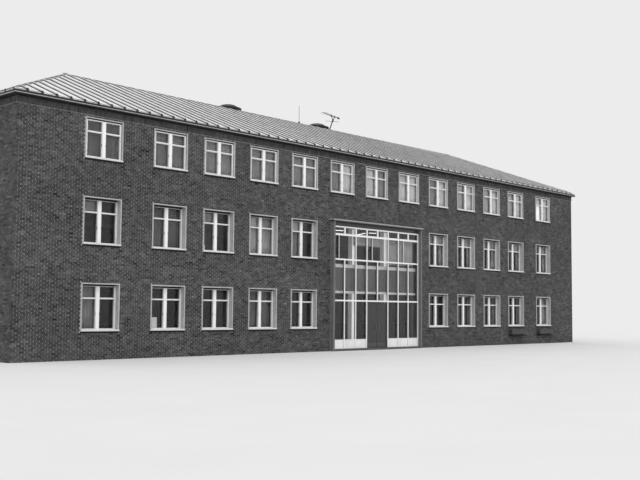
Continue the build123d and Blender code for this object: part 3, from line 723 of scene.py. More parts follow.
def lay_band():
    """The course of bricks on end under the eaves, the course above it and the pointing below it, both
    courses darkened as painted shade.
    """
    band = Shape()
    back, face = -BAND_PROUD + BRICK_FOOT, -BAND_PROUD - BRICK_PROUD
    for side, half in SIDE_HALVES.items():
        shape = Shape()
        reach = half + BAND_PROUD
        spans = even_spans(reach, COURSE)
        spans[0] = (-reach - corner_reach(side), spans[0][1])
        spans[-1] = (spans[-1][0], reach + corner_reach(side))
        for n, (x0, x1) in enumerate(spans):
            y = face - draw.uniform(-0.0015, 0.0015)
            # Bricks on end take a darker, evener tone: painted shade under the eaves.
            tone = brick_tone(n, 3) * 0.5 + 0.12
            shape.box((x0, y, BAND_BOTTOM + 0.004), (x1, back, BAND_BRICK_TOP), tone, faces=BRICK_FACES)
        for n, (x0, x1) in enumerate(even_spans(reach, BRICK_LENGTH)):
            # The course above is near black: painted shadow under the eaves board.
            tone = brick_tone(n, 5) * 0.2 - 0.06
            shape.box((x0, face, TOP_COURSE_FOOT), (x1, back, WALL_TOP - 0.004), tone, faces=BRICK_FACES)
        shape.box((-reach, face, BAND_BOTTOM - 0.010), (reach, -0.001, BAND_BOTTOM + 0.003), paint=1)
        band.merge(shape, side_matrix(side))
    make("brick_band", band, ["brick", "pointing"])


def make_bricks():
    """The brick faces of the four sides."""
    make("bricks_front_left", lay_bricks("front", -HALF_LENGTH, 0), ["brick"])
    make("bricks_front_right", lay_bricks("front", 0, HALF_LENGTH), ["brick"])
    for side in ("back", "left", "right"):
        half = SIDE_HALVES[side]
        make("bricks_" + side, lay_bricks(side, -half, half), ["brick"])
    lay_band()


SHADOW_STRIP_PROUD = 0.0065
SHADOW_STRIP_HEIGHT = 0.052


def make_sill_shadow_strips():
    """A near black strip on the wall under each sill: painted shadow of the sill."""
    shadow_strips, one = Shape(), Shape()
    one.box((-WINDOW_WIDTH / 2, -SHADOW_STRIP_PROUD, -SHADOW_STRIP_HEIGHT), (WINDOW_WIDTH / 2, BRICK_FOOT, -0.0005))
    for window in all_windows():
        shadow_strips.merge(one, window_matrix(*window))
    make("sill_shadow_strips", shadow_strips, ["gap"])


SASH, METAL, PAINTED_SHADOW, SHADED_RAIL = range(4)
SIDE_SHADOW_STRIPS = (0.001, 0.001, 0.018)
HEAD_SHADOW_STRIPS = (0.055, 0.05, 0.036)
TRANSOM_SHARES = (0.31, 0.31, 0.337)
JAMB = 0.030
LOW_RAIL = 0.016
HALF_TRANSOM = 0.012
SASH_GAP = 0.003
SASH_INNER_STILE = 0.022
SASH_OUTER_STILE = 0.030
SASH_BAR = 0.015


def window_frame(level):
    """Outer frame, broad post, transom and four sashes of one window, in the window's own frame."""
    shape = Shape()
    half = WINDOW_WIDTH / 2 - SURROUND_FACE
    foot, top = SILL_HEIGHT, WINDOW_HEIGHTS[level] - SURROUND_FACE
    y0, y1 = RECESSES[level] - 0.038, RECESSES[level] + FRAME_DEPTH
    front, back = y0 + 0.008, y1 - 0.004
    head = top - HEAD_SHADOW_STRIPS[level]
    post = POST_WIDTH / 2 - 0.036
    transom = top - TRANSOM_SHARES[level] * (top - foot)
    under, over = transom - HALF_TRANSOM, transom + HALF_TRANSOM
    low, high = foot + LOW_RAIL, head - LOW_RAIL
    # On the two lower storeys the head rail and the upper sashes' top bars take the half-tone gloss as
    # painted shade under the head.
    head_shade = SHADED_RAIL if level < 2 else SASH
    # Near black strips at the head and the jambs are painted shadow between surround and frame.
    shape.box((-half, y0 + 0.004, head), (half, y1, top), paint=PAINTED_SHADOW)
    shape.twins((half - SIDE_SHADOW_STRIPS[level], y0 + 0.004, foot), (half, y1, head), PAINTED_SHADOW)
    half -= SIDE_SHADOW_STRIPS[level]
    reach = half - JAMB
    shape.twins((reach, y0, foot), (half, y1, head))
    shape.box((-reach, y0, high), (reach, y1, head), paint=head_shade)
    shape.box((-reach, y0, foot), (reach, y1, low))
    shape.box((-post, y0 - 0.006, low), (post, y1, high))
    lip, wall = y0 - 0.020, y0 - 0.004
    drip = [(wall, under + 0.004), (lip, under), (lip, under + 0.005), (wall, under + 0.016)]
    for sign in (-1, 1):
        x0, x1 = sorted((sign * post, sign * reach))
        shape.box((x0, wall, under), (x1, y1, over))
        shape.extrude(drip, x0 + 0.004, x1 - 0.004)
        left, right = (SASH_INNER_STILE, SASH_OUTER_STILE)[::sign]
        for z0, z1 in ((low, under), (over, high)):
            a, b, c, d = x0 + SASH_GAP, x1 - SASH_GAP, z0 + SASH_GAP, z1 - SASH_GAP
            e, f = a + left, b - right
            shape.box((a, front, c), (e, back, d))
            shape.box((f, front, c), (b, back, d))
            shape.box((e, front, d - SASH_BAR), (f, back, d), paint=head_shade if z0 > transom else SASH)
            shape.box((e, front, c), (f, back, c + SASH_BAR))
            # A near black strip under each sash's top bar on the two lower storeys is painted shade.
            if level < 2:
                shape.box((e, front + 0.004, d - SASH_BAR - 0.009), (f, back, d - SASH_BAR), paint=PAINTED_SHADOW)
        x, z = sign * (post + 0.018), (foot + transom) / 2
        shape.box((x - 0.008, y0 - 0.001, z - 0.05), (x + 0.008, y0 + 0.0075, z + 0.05), paint=METAL)
        x, y = sign * (reach - 0.003), y0 + 0.003
        for z in (foot + 0.2, transom - 0.2):
            shape.tube((x, y, z - 0.045), (x, y, z + 0.045), 0.006, 8, METAL)
    return shape


def make_window_frames():
    """The frames of all windows."""
    frames = Shape()
    kinds = [window_frame(level) for level in range(3)]
    for side, level, number in all_windows():
        frames.merge(kinds[level], window_matrix(side, level, number))
    paints = ["frame", "fastening", "gap", "shaded_head_rail"]
    make("window_frames", frames, paints, bevel=0.002, hides=["window_posts"])


CLOTH_THICKNESS = 0.0015
CLOTH_GAPS = (0.075, 0.075, 0.04)
CLOTH_SPREAD = (1.1, 1.1, 1.025)
CLOTH_HEAD = 0.03
RAIL_HEAD = 0.022
BLIND_GAP = 0.035
REACH = 0.80
NET_FOOT = 0.05
CLOTH_ROWS = 4


def curtain(left, right, foot, head, folds, swing, sway=0.0):
    """Hanging cloth with rounded folds; returns its shape and the width that it was cut to."""
    shape = Shape()
    columns = max(4, round(folds * 6))
    phase = draw.uniform(0, 6)
    wander = [draw.uniform(0.7, 1.3) for _ in range(columns + 1)]
    points = []
    for row in range(CLOTH_ROWS + 1):
        down = row / CLOTH_ROWS
        reach = swing * (0.55 + 0.45 * down)
        for n in range(columns + 1):
            along = n / columns
            x = left + (right - left) * along + sway * (down - 0.35) ** 2 * (1 - along)
            y = reach * wander[n] * math.sin(2 * math.pi * folds * along + phase + 0.4 * down)
            points.append((x, y, head + (foot - head) * down))
    width = columns + 1
    corners = [row * width + n for row in range(CLOTH_ROWS) for n in range(columns)]
    shape.add(points, [(a, a + width, a + width + 1, a + 1) for a in corners])
    middle = [Vector(p) for p in points[CLOTH_ROWS // 2 * width:][:width]]
    return shape, sum((b - a).length for a, b in zip(middle, middle[1:]))


def hang(name, tone, places, side, level, gap=None):
    """One run of curtains, cut from the same cloth, behind windows of one storey."""
    PAINTS[name] = cloth_paint(name + "_cloth", tone)
    cloth = Shape()
    spread, head = CLOTH_SPREAD[level], WINDOW_HEIGHTS[level] - CLOTH_HEAD
    behind = Matrix.Translation((0, behind_glass(level) + (gap or CLOTH_GAPS[level]), 0))
    for number, spans in places.items():
        place = window_matrix(side, level, number) @ behind
        for left, right, foot, folds, swing, sway in spans:
            one, width = curtain(left * spread, right * spread, foot, head, folds, swing, sway)
            cloth.merge(one, place)
    piece = make(name, cloth, [name], smooth=80, solid=CLOTH_THICKNESS)


def net():
    """A thin curtain across the whole window."""
    return [(-REACH, REACH, NET_FOOT, 11, 0.008, 0.0)]


def half_net(sign):
    """A thin curtain behind the left or the right light."""
    left, right = (-REACH, 0.02) if sign < 0 else (0.02, REACH)
    return [(left, right, NET_FOOT, 6, 0.009, 0.0)]


def short(sign):
    """A short blind behind the left or the right upper light."""
    left, right = sorted((sign * 0.02, sign * REACH))
    return [(left, right, 1.2, 2, 0.0015, 0.0)]


def pair(width, sway=0.0):
    """A curtain drawn aside at each jamb."""
    form = (NET_FOOT, 5, 0.026)
    return [(-REACH, -REACH + width, *form, sway), (REACH - width, REACH, *form, -sway)]


def make_curtain_rails():
    """A rail over each window for its curtain, and a second where short blinds hang."""
    rails = Shape()
    for side, level, number in all_windows():
        one = Shape()
        reach = REACH * CLOTH_SPREAD[level] + 0.005
        deep, top = behind_glass(level), WINDOW_HEIGHTS[level] - RAIL_HEAD
        y = deep + CLOTH_GAPS[level]
        one.tube((-reach, y, top), (reach, y, top), 0.008, 8)
        if side == "front" and level == 1 and number != -5:
            one.tube((-0.82, deep + BLIND_GAP, top), (0.82, deep + BLIND_GAP, top), 0.006, 8)
        rails.merge(one, window_matrix(side, level, number))
    make("curtain_rails", rails, ["grey_metal"], smooth=50)


def make_curtains():
    """Curtains as each storey shows them, with more at the back and the ends."""
    left, right = half_net(-1), half_net(1)
    hang("nets_top_dark", 0.18, {-5: net()}, "front", 2)
    hang("nets_top_grey", 0.27, {-4: net(), -3: net(), -2: net(), -1: left, 0: right, 2: left}, "front", 2)
    hang("nets_top_mid", 0.45, {3: left, 4: left, 5: left}, "front", 2)
    pale = {-1: right, 0: left, 1: net(), 2: right, 3: right, 4: right, 5: right, 6: net()}
    hang("nets_top_pale", 0.76, pale, "front", 2)
    hang("nets_middle_dark", 0.105, {-5: net()}, "front", 1)
    hang("nets_middle_grey", 0.18, {-2: left}, "front", 1)
    drawn = {2: pair(0.36), 3: pair(0.30), 4: pair(0.34, sway=0.3), 5: pair(0.3), 6: pair(0.34)}
    hang("nets_middle", 0.40, {-3: net(), **drawn}, "front", 1)
    grey = {n: short(-1) for n in (-6, -4, 2, 3, 4, 5, 6)}
    hang("short_blinds_grey", 0.27, grey, "front", 1, BLIND_GAP)
    white = {n: short(-1 if n < 0 else 1) for n in (-3, -2, 2, 3, 4, 5, 6)}
    hang("short_blinds_pale", 0.52, white, "front", 1, BLIND_GAP)
    hang("curtains_ground", 0.22, {-6: left, 3: pair(0.25), 4: pair(0.35), 5: pair(0.3)}, "front", 0)
    hang("net_ground_dark", 0.11, {-3: net()}, "front", 0)
    hang("curtain_ground_pale", 0.42, {6: right}, "front", 0)
    for level, storey in enumerate(("ground", "middle", "top")):
        numbers = window_numbers("back", level)
        hang("back_curtains_" + storey, 0.28, {n: net() for n in numbers}, "back", level)
        for side in ("left", "right"):
            hang(f"{side}_curtain_{storey}", 0.30, {0: net()}, side, level)


SLAT_HALF = 0.012
SLAT_RISE = 0.014
SLAT_THICKNESS = 0.0015
SLAT_PITCH = 0.042


def make_blinds():
    """A slatted blind in the first window of the top storey."""
    blind = Shape()
    level = 2
    deep, top = behind_glass(level) + 0.022, WINDOW_HEIGHTS[level]
    front, back = deep - SLAT_HALF, deep + SLAT_HALF
    z = SILL_HEIGHT
    while z < top - 0.06:
        high = z + SLAT_RISE
        slat = [(front, z), (back, high), (back, high + SLAT_THICKNESS), (front, z + SLAT_THICKNESS)]
        blind.extrude(slat, -REACH, REACH)
        z += SLAT_PITCH
    blind.box((-0.81, deep - 0.018, top - 0.065), (0.81, deep + 0.018, top - 0.03))
    for x in (-0.5, 0.5):
        blind.tube((x, deep, SILL_HEIGHT), (x, deep, top - 0.05), 0.002, 6)
    make("slatted_blind", blind.moved(window_matrix("front", level, -LAST_WINDOW)), ["slat"])


# Storey, window, left, right, foot, head and paint of each sheet
PAPERS = (
    (2, 6, -0.72, -0.14, 0.10, 0.95, 1),
    (1, -4, -0.64, -0.46, 0.11, 0.30, 0),
    (0, -5, -0.66, -0.30, 0.11, 0.52, 0),
)


def make_papers():
    """Plain sheets of white board that lean on the glass inside a few windows; the one in the top storey
    glows as painted light.
    """
    papers = Shape()
    for level, number, x0, x1, z0, z1, paint in PAPERS:
        y = behind_glass(level) + 0.010
        one = Shape()
        one.box((x0, y, z0), (x1, y + 0.004, z1), paint=paint)
        papers.merge(one, window_matrix("front", level, number))
    make("window_papers", papers, ["white", "card_painted_glow"])


HIP_RUN = SHEET_X - RIDGE_HALF
ROLL_HALF = 0.034
ROLL_FOOT = -0.004
ROLL_SHADE_TOP = 0.027
ROLL_ARCH = ((ROLL_HALF, 0.044), (0.028, 0.053), (0.014, 0.057))
ROLL_SIDE = ((ROLL_HALF, ROLL_FOOT), (ROLL_HALF, ROLL_SHADE_TOP), *ROLL_ARCH)
ROLL_OTHER_SIDE = tuple((-out, up) for out, up in reversed(ROLL_SIDE))
ROLL_OUTLINE = (ROLL_OTHER_SIDE[-1], *ROLL_SIDE, *ROLL_OTHER_SIDE[:-1])
ROLL_PAST_SHEET = 0.004
ROLL_UNDER_CAP = 0.02
SHORTEST_ROLL = 0.25


def front_level(y):
    """Level of the long slopes over a place in plan."""
    return RIDGE_LEVEL - abs(y) * (RIDGE_LEVEL - EDGE_LEVEL) / SHEET_Y


def hip_level(x):
    """Level of the end slopes over a place in plan."""
    return RIDGE_LEVEL - (abs(x) - RIDGE_HALF) * (RIDGE_LEVEL - EDGE_LEVEL) / HIP_RUN


def add_roll(shape, sections, flip):
    """One roll with its lower end and the feet of its sides painted near black: the shade inside an open end
    and the roll's shadow on the pan.
    """
    if flip:
        sections = [list(reversed(section)) for section in sections]
    shape.sweep(sections)
    shape.paints[-2] = 1
    count = len(sections[0])
    for n in (count - 3, count - 1) if flip else (1, count - 1):
        shape.paints[-2 - count + n] = 2


def roll_set(name, axis, across, reach, top_at, level_at):
    """Rounded metal caps over the rolls of two opposite slopes, their closed lower ends painted near black
    as the shade inside an open end.
    """
    rolls = Shape()
    count = math.floor(across / ROLL_PITCH)
    for n in range(-count, count + 1):
        place = n * ROLL_PITCH
        top = top_at(place) - ROLL_UNDER_CAP
        if reach - top < SHORTEST_ROLL:
            continue
        for sign in (-1, 1):
            sections = []
            for end in (sign * (reach + ROLL_PAST_SHEET), sign * top):
                z = level_at(end)
                outline = [(place + out, end, z + up) for out, up in ROLL_OUTLINE]
                sections.append(outline if axis == "X" else [(y, x, level) for x, y, level in outline])
            add_roll(rolls, sections, sign > 0 if axis == "X" else sign < 0)
    make(name, rolls, ["roll", "roll_end_shade", "shaded_roll_foot"], smooth=40)


def make_rolls():
    """The rolls of the four slopes, each as far up as the ridge cap or a hip cap lets it."""
    slant = math.hypot(HIP_RUN, SHEET_Y)
    along, up = CAP_HALF * slant / SHEET_Y, CAP_HALF * slant / HIP_RUN

    def long_top(x):
        return max(CAP_HALF, (abs(x) + along - RIDGE_HALF) * SHEET_Y / HIP_RUN)

    def end_top(y):
        return RIDGE_HALF + max((abs(y) + up) * HIP_RUN / SHEET_Y, PEAK_RADIUS)

    roll_set("roof_rolls_long", "X", SHEET_X, SHEET_Y, long_top, front_level)
    roll_set("roof_rolls_ends", "Y", SHEET_Y, SHEET_X, end_top, hip_level)


PAN_SAG = 0.034
PAN_MARGIN = 0.036
PAN_LINE = ((0.004, 0), (-0.004, 0), (-0.004, 0.010), (0.004, 0.010))
PAN_STEPS = 8


def make_pan_edge_shadows():
    """Thin strips painted near black as the shadow line where each pan's lower edge sags between two rolls,
    along all four eaves.
    """
    edges = Shape()
    overhang = SHEET_X - HALF_LENGTH
    for side, half in SIDE_HALVES.items():
        reach = half + overhang
        shape = Shape()
        count = math.floor(reach / ROLL_PITCH)
        for n in range(-count - 1, count + 1):
            left = max(n * ROLL_PITCH + PAN_MARGIN, -reach)
            right = min((n + 1) * ROLL_PITCH - PAN_MARGIN, reach)
            if right - left < 0.2:
                continue
            sections = []
            for step in range(PAN_STEPS + 1):
                along = step / PAN_STEPS
                x = left + (right - left) * along
                z = EDGE_LEVEL + 0.010 - PAN_SAG * 4 * along * (1 - along)
                sections.append([(x, y - overhang, z + up) for y, up in PAN_LINE])
            shape.sweep(sections)
        edges.merge(shape, side_matrix(side))
    make("pan_edge_shadows", edges, ["pan_edge_shadow"])


VENT_RADIUS = 0.68
VENT_KERB = 0.445
RIM_LEVEL = RIDGE_LEVEL + 0.08
BRIM_FOOT = ((VENT_KERB, 0.0), (0.655, 0.0), (0.668, -0.006), (0.678, 0.006))
BRIM_HEAD = ((0.678, 0.096), (0.668, 0.108), (0.50, 0.121))
CROWN_RADIUS = 0.5
CROWN_FOOT = 0.125
CROWN_RISE = 0.190
CROWN_RINGS = 8
COWL_BOLTS = 16


def make_vents():
    """Two cowls with a deep brim and a domed crown, each on a kerb."""
    low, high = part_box("roof_vents")
    y = (low.y + high.y) / 2
    foot = front_level(y + 0.45) - RIM_LEVEL - 0.03
    crown = [(0.504, 0.122), (CROWN_RADIUS, 0.131)]
    for n in range(1, CROWN_RINGS + 1):
        angle = math.radians(80) * n / CROWN_RINGS
        crown.append((CROWN_RADIUS * math.cos(angle), CROWN_FOOT + CROWN_RISE * math.sin(angle)))
    shape = Shape()
    for x in (low.x + VENT_RADIUS, high.x - VENT_RADIUS):
        shape.turned([(VENT_KERB, foot), *BRIM_FOOT, *BRIM_HEAD], (x, y, RIM_LEVEL), 64, paint=1)
        shape.turned(crown, (x, y, RIM_LEVEL), 64)
        for dx, dy in circle(0.6, COWL_BOLTS):
            spot = Vector((x + dx, y + dy, RIM_LEVEL + 0.110))
            shape.tube(spot, spot + Vector((0, 0, 0.012)), 0.012, 6)
    make("roof_cowls", shape, ["cowl", "brim"], smooth=35, hides=["roof_vents"])


PIPE_RADIUS = 0.0138
COLLAR_RADIUS = 0.019


def make_pipe():
    """A thin pipe with a flashing at its foot and a collar."""
    low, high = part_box("ridge_pipe")
    place = ((low.x + high.x) / 2, (low.y + high.y) / 2, low.z)
    height = high.z - low.z
    collar_foot, collar_top = height * 0.55, height * 0.58
    profile = [(0.06, -0.03), (0.06, 0.0), (0.05, 0.012), (0.024, 0.07), (PIPE_RADIUS, 0.075)]
    profile += [(PIPE_RADIUS, collar_foot), (COLLAR_RADIUS, collar_foot)]
    profile += [(COLLAR_RADIUS, collar_top), (PIPE_RADIUS, collar_top)]
    profile += [(PIPE_RADIUS, height - 0.002), (0.010, height)]
    shape = Shape()
    shape.turned(profile, place, 16)
    shape.turned([(0.058, 0.004), (0.058, 0.04), (0.03, 0.085)], place, 16, paint=1)
    make("pipe_on_ridge", shape, ["grey_metal", "brim"], smooth=40, hides=["ridge_pipe"])


AERIAL_X = 2.79
MAST = Vector((0.27, 0, 0.565))
MAST_PLATE = 0.012
BOOM_RISE = Vector((0, 0, 0.21))
BOOM_TURN = math.radians(14)
BOOM_FRONT = 1.17
BOOM_BACK = 0.73
STRUT_SPREAD = 0.205
SIDE_ROD_TURN = math.radians(-27)
SIDE_ROD_HALF = 0.41
SIDE_ROD_DROP = 0.09
ELEMENTS = 6
ELEMENT_STEP = 0.29
ELEMENT_LENGTH = 0.52
ELEMENT_SHORTENING = 0.026


def make_aerial():
    """An aerial with a leaning mast, a strutted boom, rods across it and a box of short rods at its end."""
    x, foot = AERIAL_X, RIDGE_LEVEL + CAP_TOP
    plate_top = foot + MAST_PLATE
    joint = Vector((x, 0, plate_top)) + MAST
    head = joint + BOOM_RISE
    turn = Matrix.Rotation(BOOM_TURN, 4, "Z")
    along, across = turn @ Vector((1, 0, 0)), turn @ Vector((0, 1, 0))
    start, end = head - along * BOOM_FRONT, head + along * BOOM_BACK
    shape, clamp = Shape(), Shape()
    clamp.box((-0.045, -0.030, -0.032), (0.045, 0.030, 0.032))
    shape.box((x - 0.06, -0.032, foot), (x + 0.06, 0.032, plate_top))
    for dx in (-0.042, 0.042):
        for dy in (-0.02, 0.02):
            shape.tube((x + dx, dy, plate_top), (x + dx, dy, plate_top + 0.010), 0.008, 6)
    shape.tube((x, 0, foot + 0.006), joint, 0.030, 12)
    shape.tube(start, end, 0.017, 10)
    for place in (-STRUT_SPREAD, STRUT_SPREAD):
        shape.tube(joint - Vector((0, 0, 0.016)), head + along * place, 0.021, 8)
    crossing = joint - MAST * (SIDE_ROD_DROP / MAST.z)
    sideways = Matrix.Rotation(SIDE_ROD_TURN, 4, "Z") @ Vector((SIDE_ROD_HALF, 0, 0))
    shape.tube(crossing - sideways, crossing + sideways, 0.009, 8)
    strut_heads = [head - along * STRUT_SPREAD, head + along * STRUT_SPREAD]
    for place in (joint, *strut_heads, crossing, end - along * 0.085):
        shape.merge(clamp, Matrix.Translation(place) @ turn)
    for n in range(ELEMENTS):
        middle = start + along * (ELEMENT_STEP / 4 + ELEMENT_STEP * n)
        tip = across * ((ELEMENT_LENGTH - ELEMENT_SHORTENING * n) / 2)
        shape.tube(middle - tip, middle + tip, 0.0058, 8)
        shape.merge(clamp, Matrix.Translation(middle) @ turn @ Matrix.Scale(0.5, 4))
    for step in range(5):
        middle = end - along * (0.01 + 0.0375 * step)
        for lift in (-0.036, 0.0, 0.036):
            level = middle + Vector((0, 0, lift))
            shape.tube(level - across * 0.034, level + across * 0.034, 0.005, 8)
        for sign in (-1, 1):
            edge = middle + across * 0.03 * sign
            shape.tube(edge - Vector((0, 0, 0.039)), edge + Vector((0, 0, 0.039)), 0.005, 8)
    make("roof_aerial", shape, ["aerial"], smooth=40, hides=["aerial"])


def bent_sheet(back, face, foot, top):
    """The (y, z) outline of a thin sheet that lies on a top and comes down over a face."""
    skin, clear = 0.003, 0.0003
    return [(face - skin, foot), (face - skin, top + skin), (back, top + skin),
            (back, top + clear), (face - clear, top + clear), (face - clear, foot)]


STRAP_SPACING = 0.92
STRAP_HALF = 0.014
STRAP_REACH = 0.055
BEAD_OUT = 0.2
BEAD_DEPTH = 0.010


def make_gutter_fittings():
    """Straps round the gutter's lip and face, and a bead along the board below it."""
    fittings = Shape()
    strap = bent_sheet(STRAP_REACH - GUTTER_FACE, -GUTTER_FACE, BOARD_TOP + 0.0005, GUTTER_TOP)
    low, high = BOARD_TOP - 0.0005, BOARD_TOP + 0.012
    face, back = -BEAD_OUT, BEAD_DEPTH - BEAD_OUT
    bead = [(face, low), (face, high), (back, high), (back, low)]
    for side, half in SIDE_HALVES.items():
        shape = Shape()
        count = round(2 * half / STRAP_SPACING)
        for n in range(count):
            x = -half + 2 * half * (n + 0.5) / count
            shape.extrude(strap, x - STRAP_HALF, x + STRAP_HALF)
        shape.extrude(bead, -half - BEAD_OUT, half + BEAD_OUT, paint=1)
        fittings.merge(shape, side_matrix(side))
    make("gutter_straps", fittings, ["bracket", "bead"])


HOPPER_GAP = 0.006
HOPPER_BAR = 0.026
HOPPER_DEPTH = 0.045
MOULDING = 0.015


def make_entrance():
    """Glass, top lights and panel mouldings of the entrance screen."""
    front = -HALF_DEPTH
    back = front + SCREEN_BACK
    glass = Shape()
    for left, right, foot in ((-4, -1, PANEL_TOP), (-1, 1, DOOR_RAIL), (1, 4, PANEL_TOP)):
        glass.box((left * BAY, back, foot), (right * BAY, back + GLASS, GLASS_HEAD))
    lights, light, pane = Shape(), Shape(), Shape()
    bar, lap = HOPPER_BAR, HOPPER_BAR - 0.006
    wide, tall = BAY - BAR - 2 * HOPPER_GAP, HOPPER_HEAD - HOPPER_FOOT
    light.box((0, 0, 0), (bar, HOPPER_DEPTH, tall))
    light.box((wide - bar, 0, 0), (wide, HOPPER_DEPTH, tall))
    light.box((bar, 0, 0), (wide - bar, HOPPER_DEPTH, bar))
    light.box((bar, 0, tall - bar), (wide - bar, HOPPER_DEPTH, tall), paint=1)
    pane.box((lap, 0.020, lap), (wide - lap, 0.020 + GLASS, tall - lap))
    for n in range(-4, 4):
        place = Matrix.Translation((n * BAY + BAR / 2 + HOPPER_GAP, front + HOPPER_FACE, HOPPER_FOOT))
        lights.merge(light, place)
        glass.merge(pane, place)
    make("top_lights", lights, ["screen", "dark"], bevel=0.003, hides=["hopper_lights"])
    make("entrance_glass", glass, ["glass"], hides=["screen_glass"])
    trims = Shape()
    y0, y1 = front - 0.071, front - 0.064
    low, foot, head, high = 0.19, 0.19 + MOULDING, 0.42, 0.42 + MOULDING
    for n in (-4, -3, -2, 1, 2, 3):
        x0, x1 = n * BAY + BAR / 2 + 0.05, (n + 1) * BAY - BAR / 2 - 0.05
        sides = ((x0, x0 + MOULDING, foot, head), (x1 - MOULDING, x1, foot, head))
        for a, b, c, d in ((x0, x1, low, foot), (x0, x1, head, high), *sides):
            trims.box((a, y0, c), (b, y1, d))
    make("panel_mouldings", trims, ["white"], bevel=0.002)


FLASHING_DROP = 0.05
SIDE_SHADOW_HEIGHT = 0.045


def make_portal_flashing():
    """A pale flashing round the head slab's upper edge, with near black strips under it at the sides as
    painted shadow of the slab.
    """
    strip = Shape()
    reach, face, back = PORTAL_HALF + 0.04, -HALF_DEPTH - 0.29, -HALF_DEPTH - 0.006
    foot = PORTAL_TOP - FLASHING_DROP
    strip.extrude(bent_sheet(back, face, foot, PORTAL_TOP), -reach, reach)
    x0, x1 = reach + 0.0003, reach + 0.003
    strip.twins((x0, face, foot), (x1, back, PORTAL_TOP + 0.003))
    strip.twins((x0, face, foot - SIDE_SHADOW_HEIGHT), (x1, back, foot), paint=1)
    make("portal_flashing", strip, ["flashing", "gap"])


# Both ends of each lamp in plan
LAMP_ENDS = (
    ((1.86, -1.30), (2.40, -1.49)),
    ((5.0, -0.11), (4.29, -1.49)),
    ((4.29, -1.58), (4.92, -1.74)),
)
CEILING = 6.17
LAMP_HALF_WIDTH = 0.045
LAMP_BODY = 0.020
LAMP_TUBE_RADIUS = 0.018


def make_lamps():
    """Slim lit lamps under the ceiling of the storey over the entrance."""
    lamps = Shape()
    for start, end in LAMP_ENDS:
        start, end = Vector((*start, CEILING)), Vector((*end, CEILING))
        half = (end - start).length / 2
        one = Shape()
        low, end_x = -2 * LAMP_BODY, half - LAMP_BODY
        one.box((-half, -LAMP_HALF_WIDTH, -LAMP_BODY), (half, LAMP_HALF_WIDTH, 0.0))
        one.tube((-end_x, 0, low), (end_x, 0, low), LAMP_TUBE_RADIUS, 12, paint=1)
        one.twins((half - 0.022, -0.022, low - 0.022), (half, 0.022, -LAMP_BODY))
        turn = Matrix.Rotation(math.atan2(end.y - start.y, end.x - start.x), 4, "Z")
        lamps.merge(one, Matrix.Translation((start + end) / 2) @ turn)
    make("hall_lamps", lamps, ["white", "lit"], smooth=40)


# Left, right and foot of each blind
HALL_BLINDS = ((1.2, 3.1, 4.13), (-1.5, 0.5, 4.97))
HALL_RAIL_Y = -HALF_DEPTH + 0.20
HALL_RAIL_LEVEL = 5.46


def make_hall_blinds():
    """Plain blinds behind the upper lights of the entrance, on a rail."""
    rail, cloth = Shape(), Shape()
    rail.tube((-3.2, HALL_RAIL_Y, HALL_RAIL_LEVEL), (3.2, HALL_RAIL_Y, HALL_RAIL_LEVEL), 0.012, 10)
    make("hall_blind_rail", rail, ["grey_metal"], smooth=50)
    PAINTS["hall_blinds"] = cloth_paint("hall_blind_cloth", 0.42)
    top = HALL_RAIL_LEVEL - 0.01
    for left, right, foot in HALL_BLINDS:
        one, _ = curtain(left, right, foot, top, 4, 0.004)
        cloth.merge(one, Matrix.Translation((0, HALL_RAIL_Y, 0)))
    piece = make("hall_blinds", cloth, ["hall_blinds"], smooth=80, solid=CLOTH_THICKNESS)


BOARD_COUNT = 7
BOARD_GAP = 0.002
BOARD_PROUD = 0.007
LEAF_MARGIN = 0.012
PULL_PLACE = 0.090
PULL_STAND = 0.06
PULL_RADIUS = 0.0118
PULL_FOOT = 0.9
PULL_TOP = 1.32
PULL_STAND_LEVELS = (0.96, 1.26)
PULL_STAND_RADIUS = 0.0088
ROSE_RADIUS = 0.022


def make_doors():
    """Upright boards on both faces of each leaf, with round pulls on their stands."""
    outer = -HALF_DEPTH + DOOR_FACE
    inner = outer + DOOR_THICKNESS
    x0, x1 = 0.005 + LEAF_MARGIN, DOOR_HALF - 0.006 - LEAF_MARGIN
    wide = (x1 - x0) / BOARD_COUNT
    for side, sign in (("left", -1), ("right", 1)):
        body = "door_" + side
        boards, pull, plate = Shape(), Shape(), Shape()
        for face, out, count in ((outer, -1, BOARD_COUNT), (inner, 1, BOARD_COUNT - 1)):
            y0, y1 = sorted((face - out * 0.001, face + out * BOARD_PROUD))
            for n in range(count):
                left, right = x0 + wide * n + BOARD_GAP, x0 + wide * (n + 1) - BOARD_GAP
                a, b = sorted((sign * left, sign * right))
                boards.box((a, y0, DOOR_FOOT + LEAF_MARGIN), (b, y1, DOOR_TOP - LEAF_MARGIN))
        make("boards_" + side, boards, ["door"], body, bevel=0.003)
        x, y = sign * PULL_PLACE, outer - PULL_STAND
        pull.tube((x, y, PULL_FOOT), (x, y, PULL_TOP), PULL_RADIUS, 16)
        for z in PULL_STAND_LEVELS:
            pull.tube((x, y, z), (x, outer, z), PULL_STAND_RADIUS, 12)
            pull.tube((x, outer - 0.012, z), (x, outer - 0.006, z), ROSE_RADIUS, 16)
        make("pull_" + side, pull, ["handle"], body, smooth=40, hides=["door_handle_" + side])
        a, b = sorted((sign * (x0 + 0.01), sign * (x1 - 0.01)))
        plate.box((a, outer - 0.009, DOOR_FOOT + 0.02), (b, outer - 0.006, DOOR_FOOT + 0.22))
        make("kick_plate_" + side, plate, ["plate"], body, bevel=0.001)


BOX_WINDOWS = (5, 6)
BEARER_HALF = 0.76
BEARER_HEIGHT = 0.045
SOIL_HALF = 0.745
SOIL_BACK = -HALF_DEPTH - 0.035
SOIL_FRONT = -HALF_DEPTH - 0.205
SOIL_LEVEL = 0.822
SOIL_COLUMNS = 48
SOIL_ROWS = 6


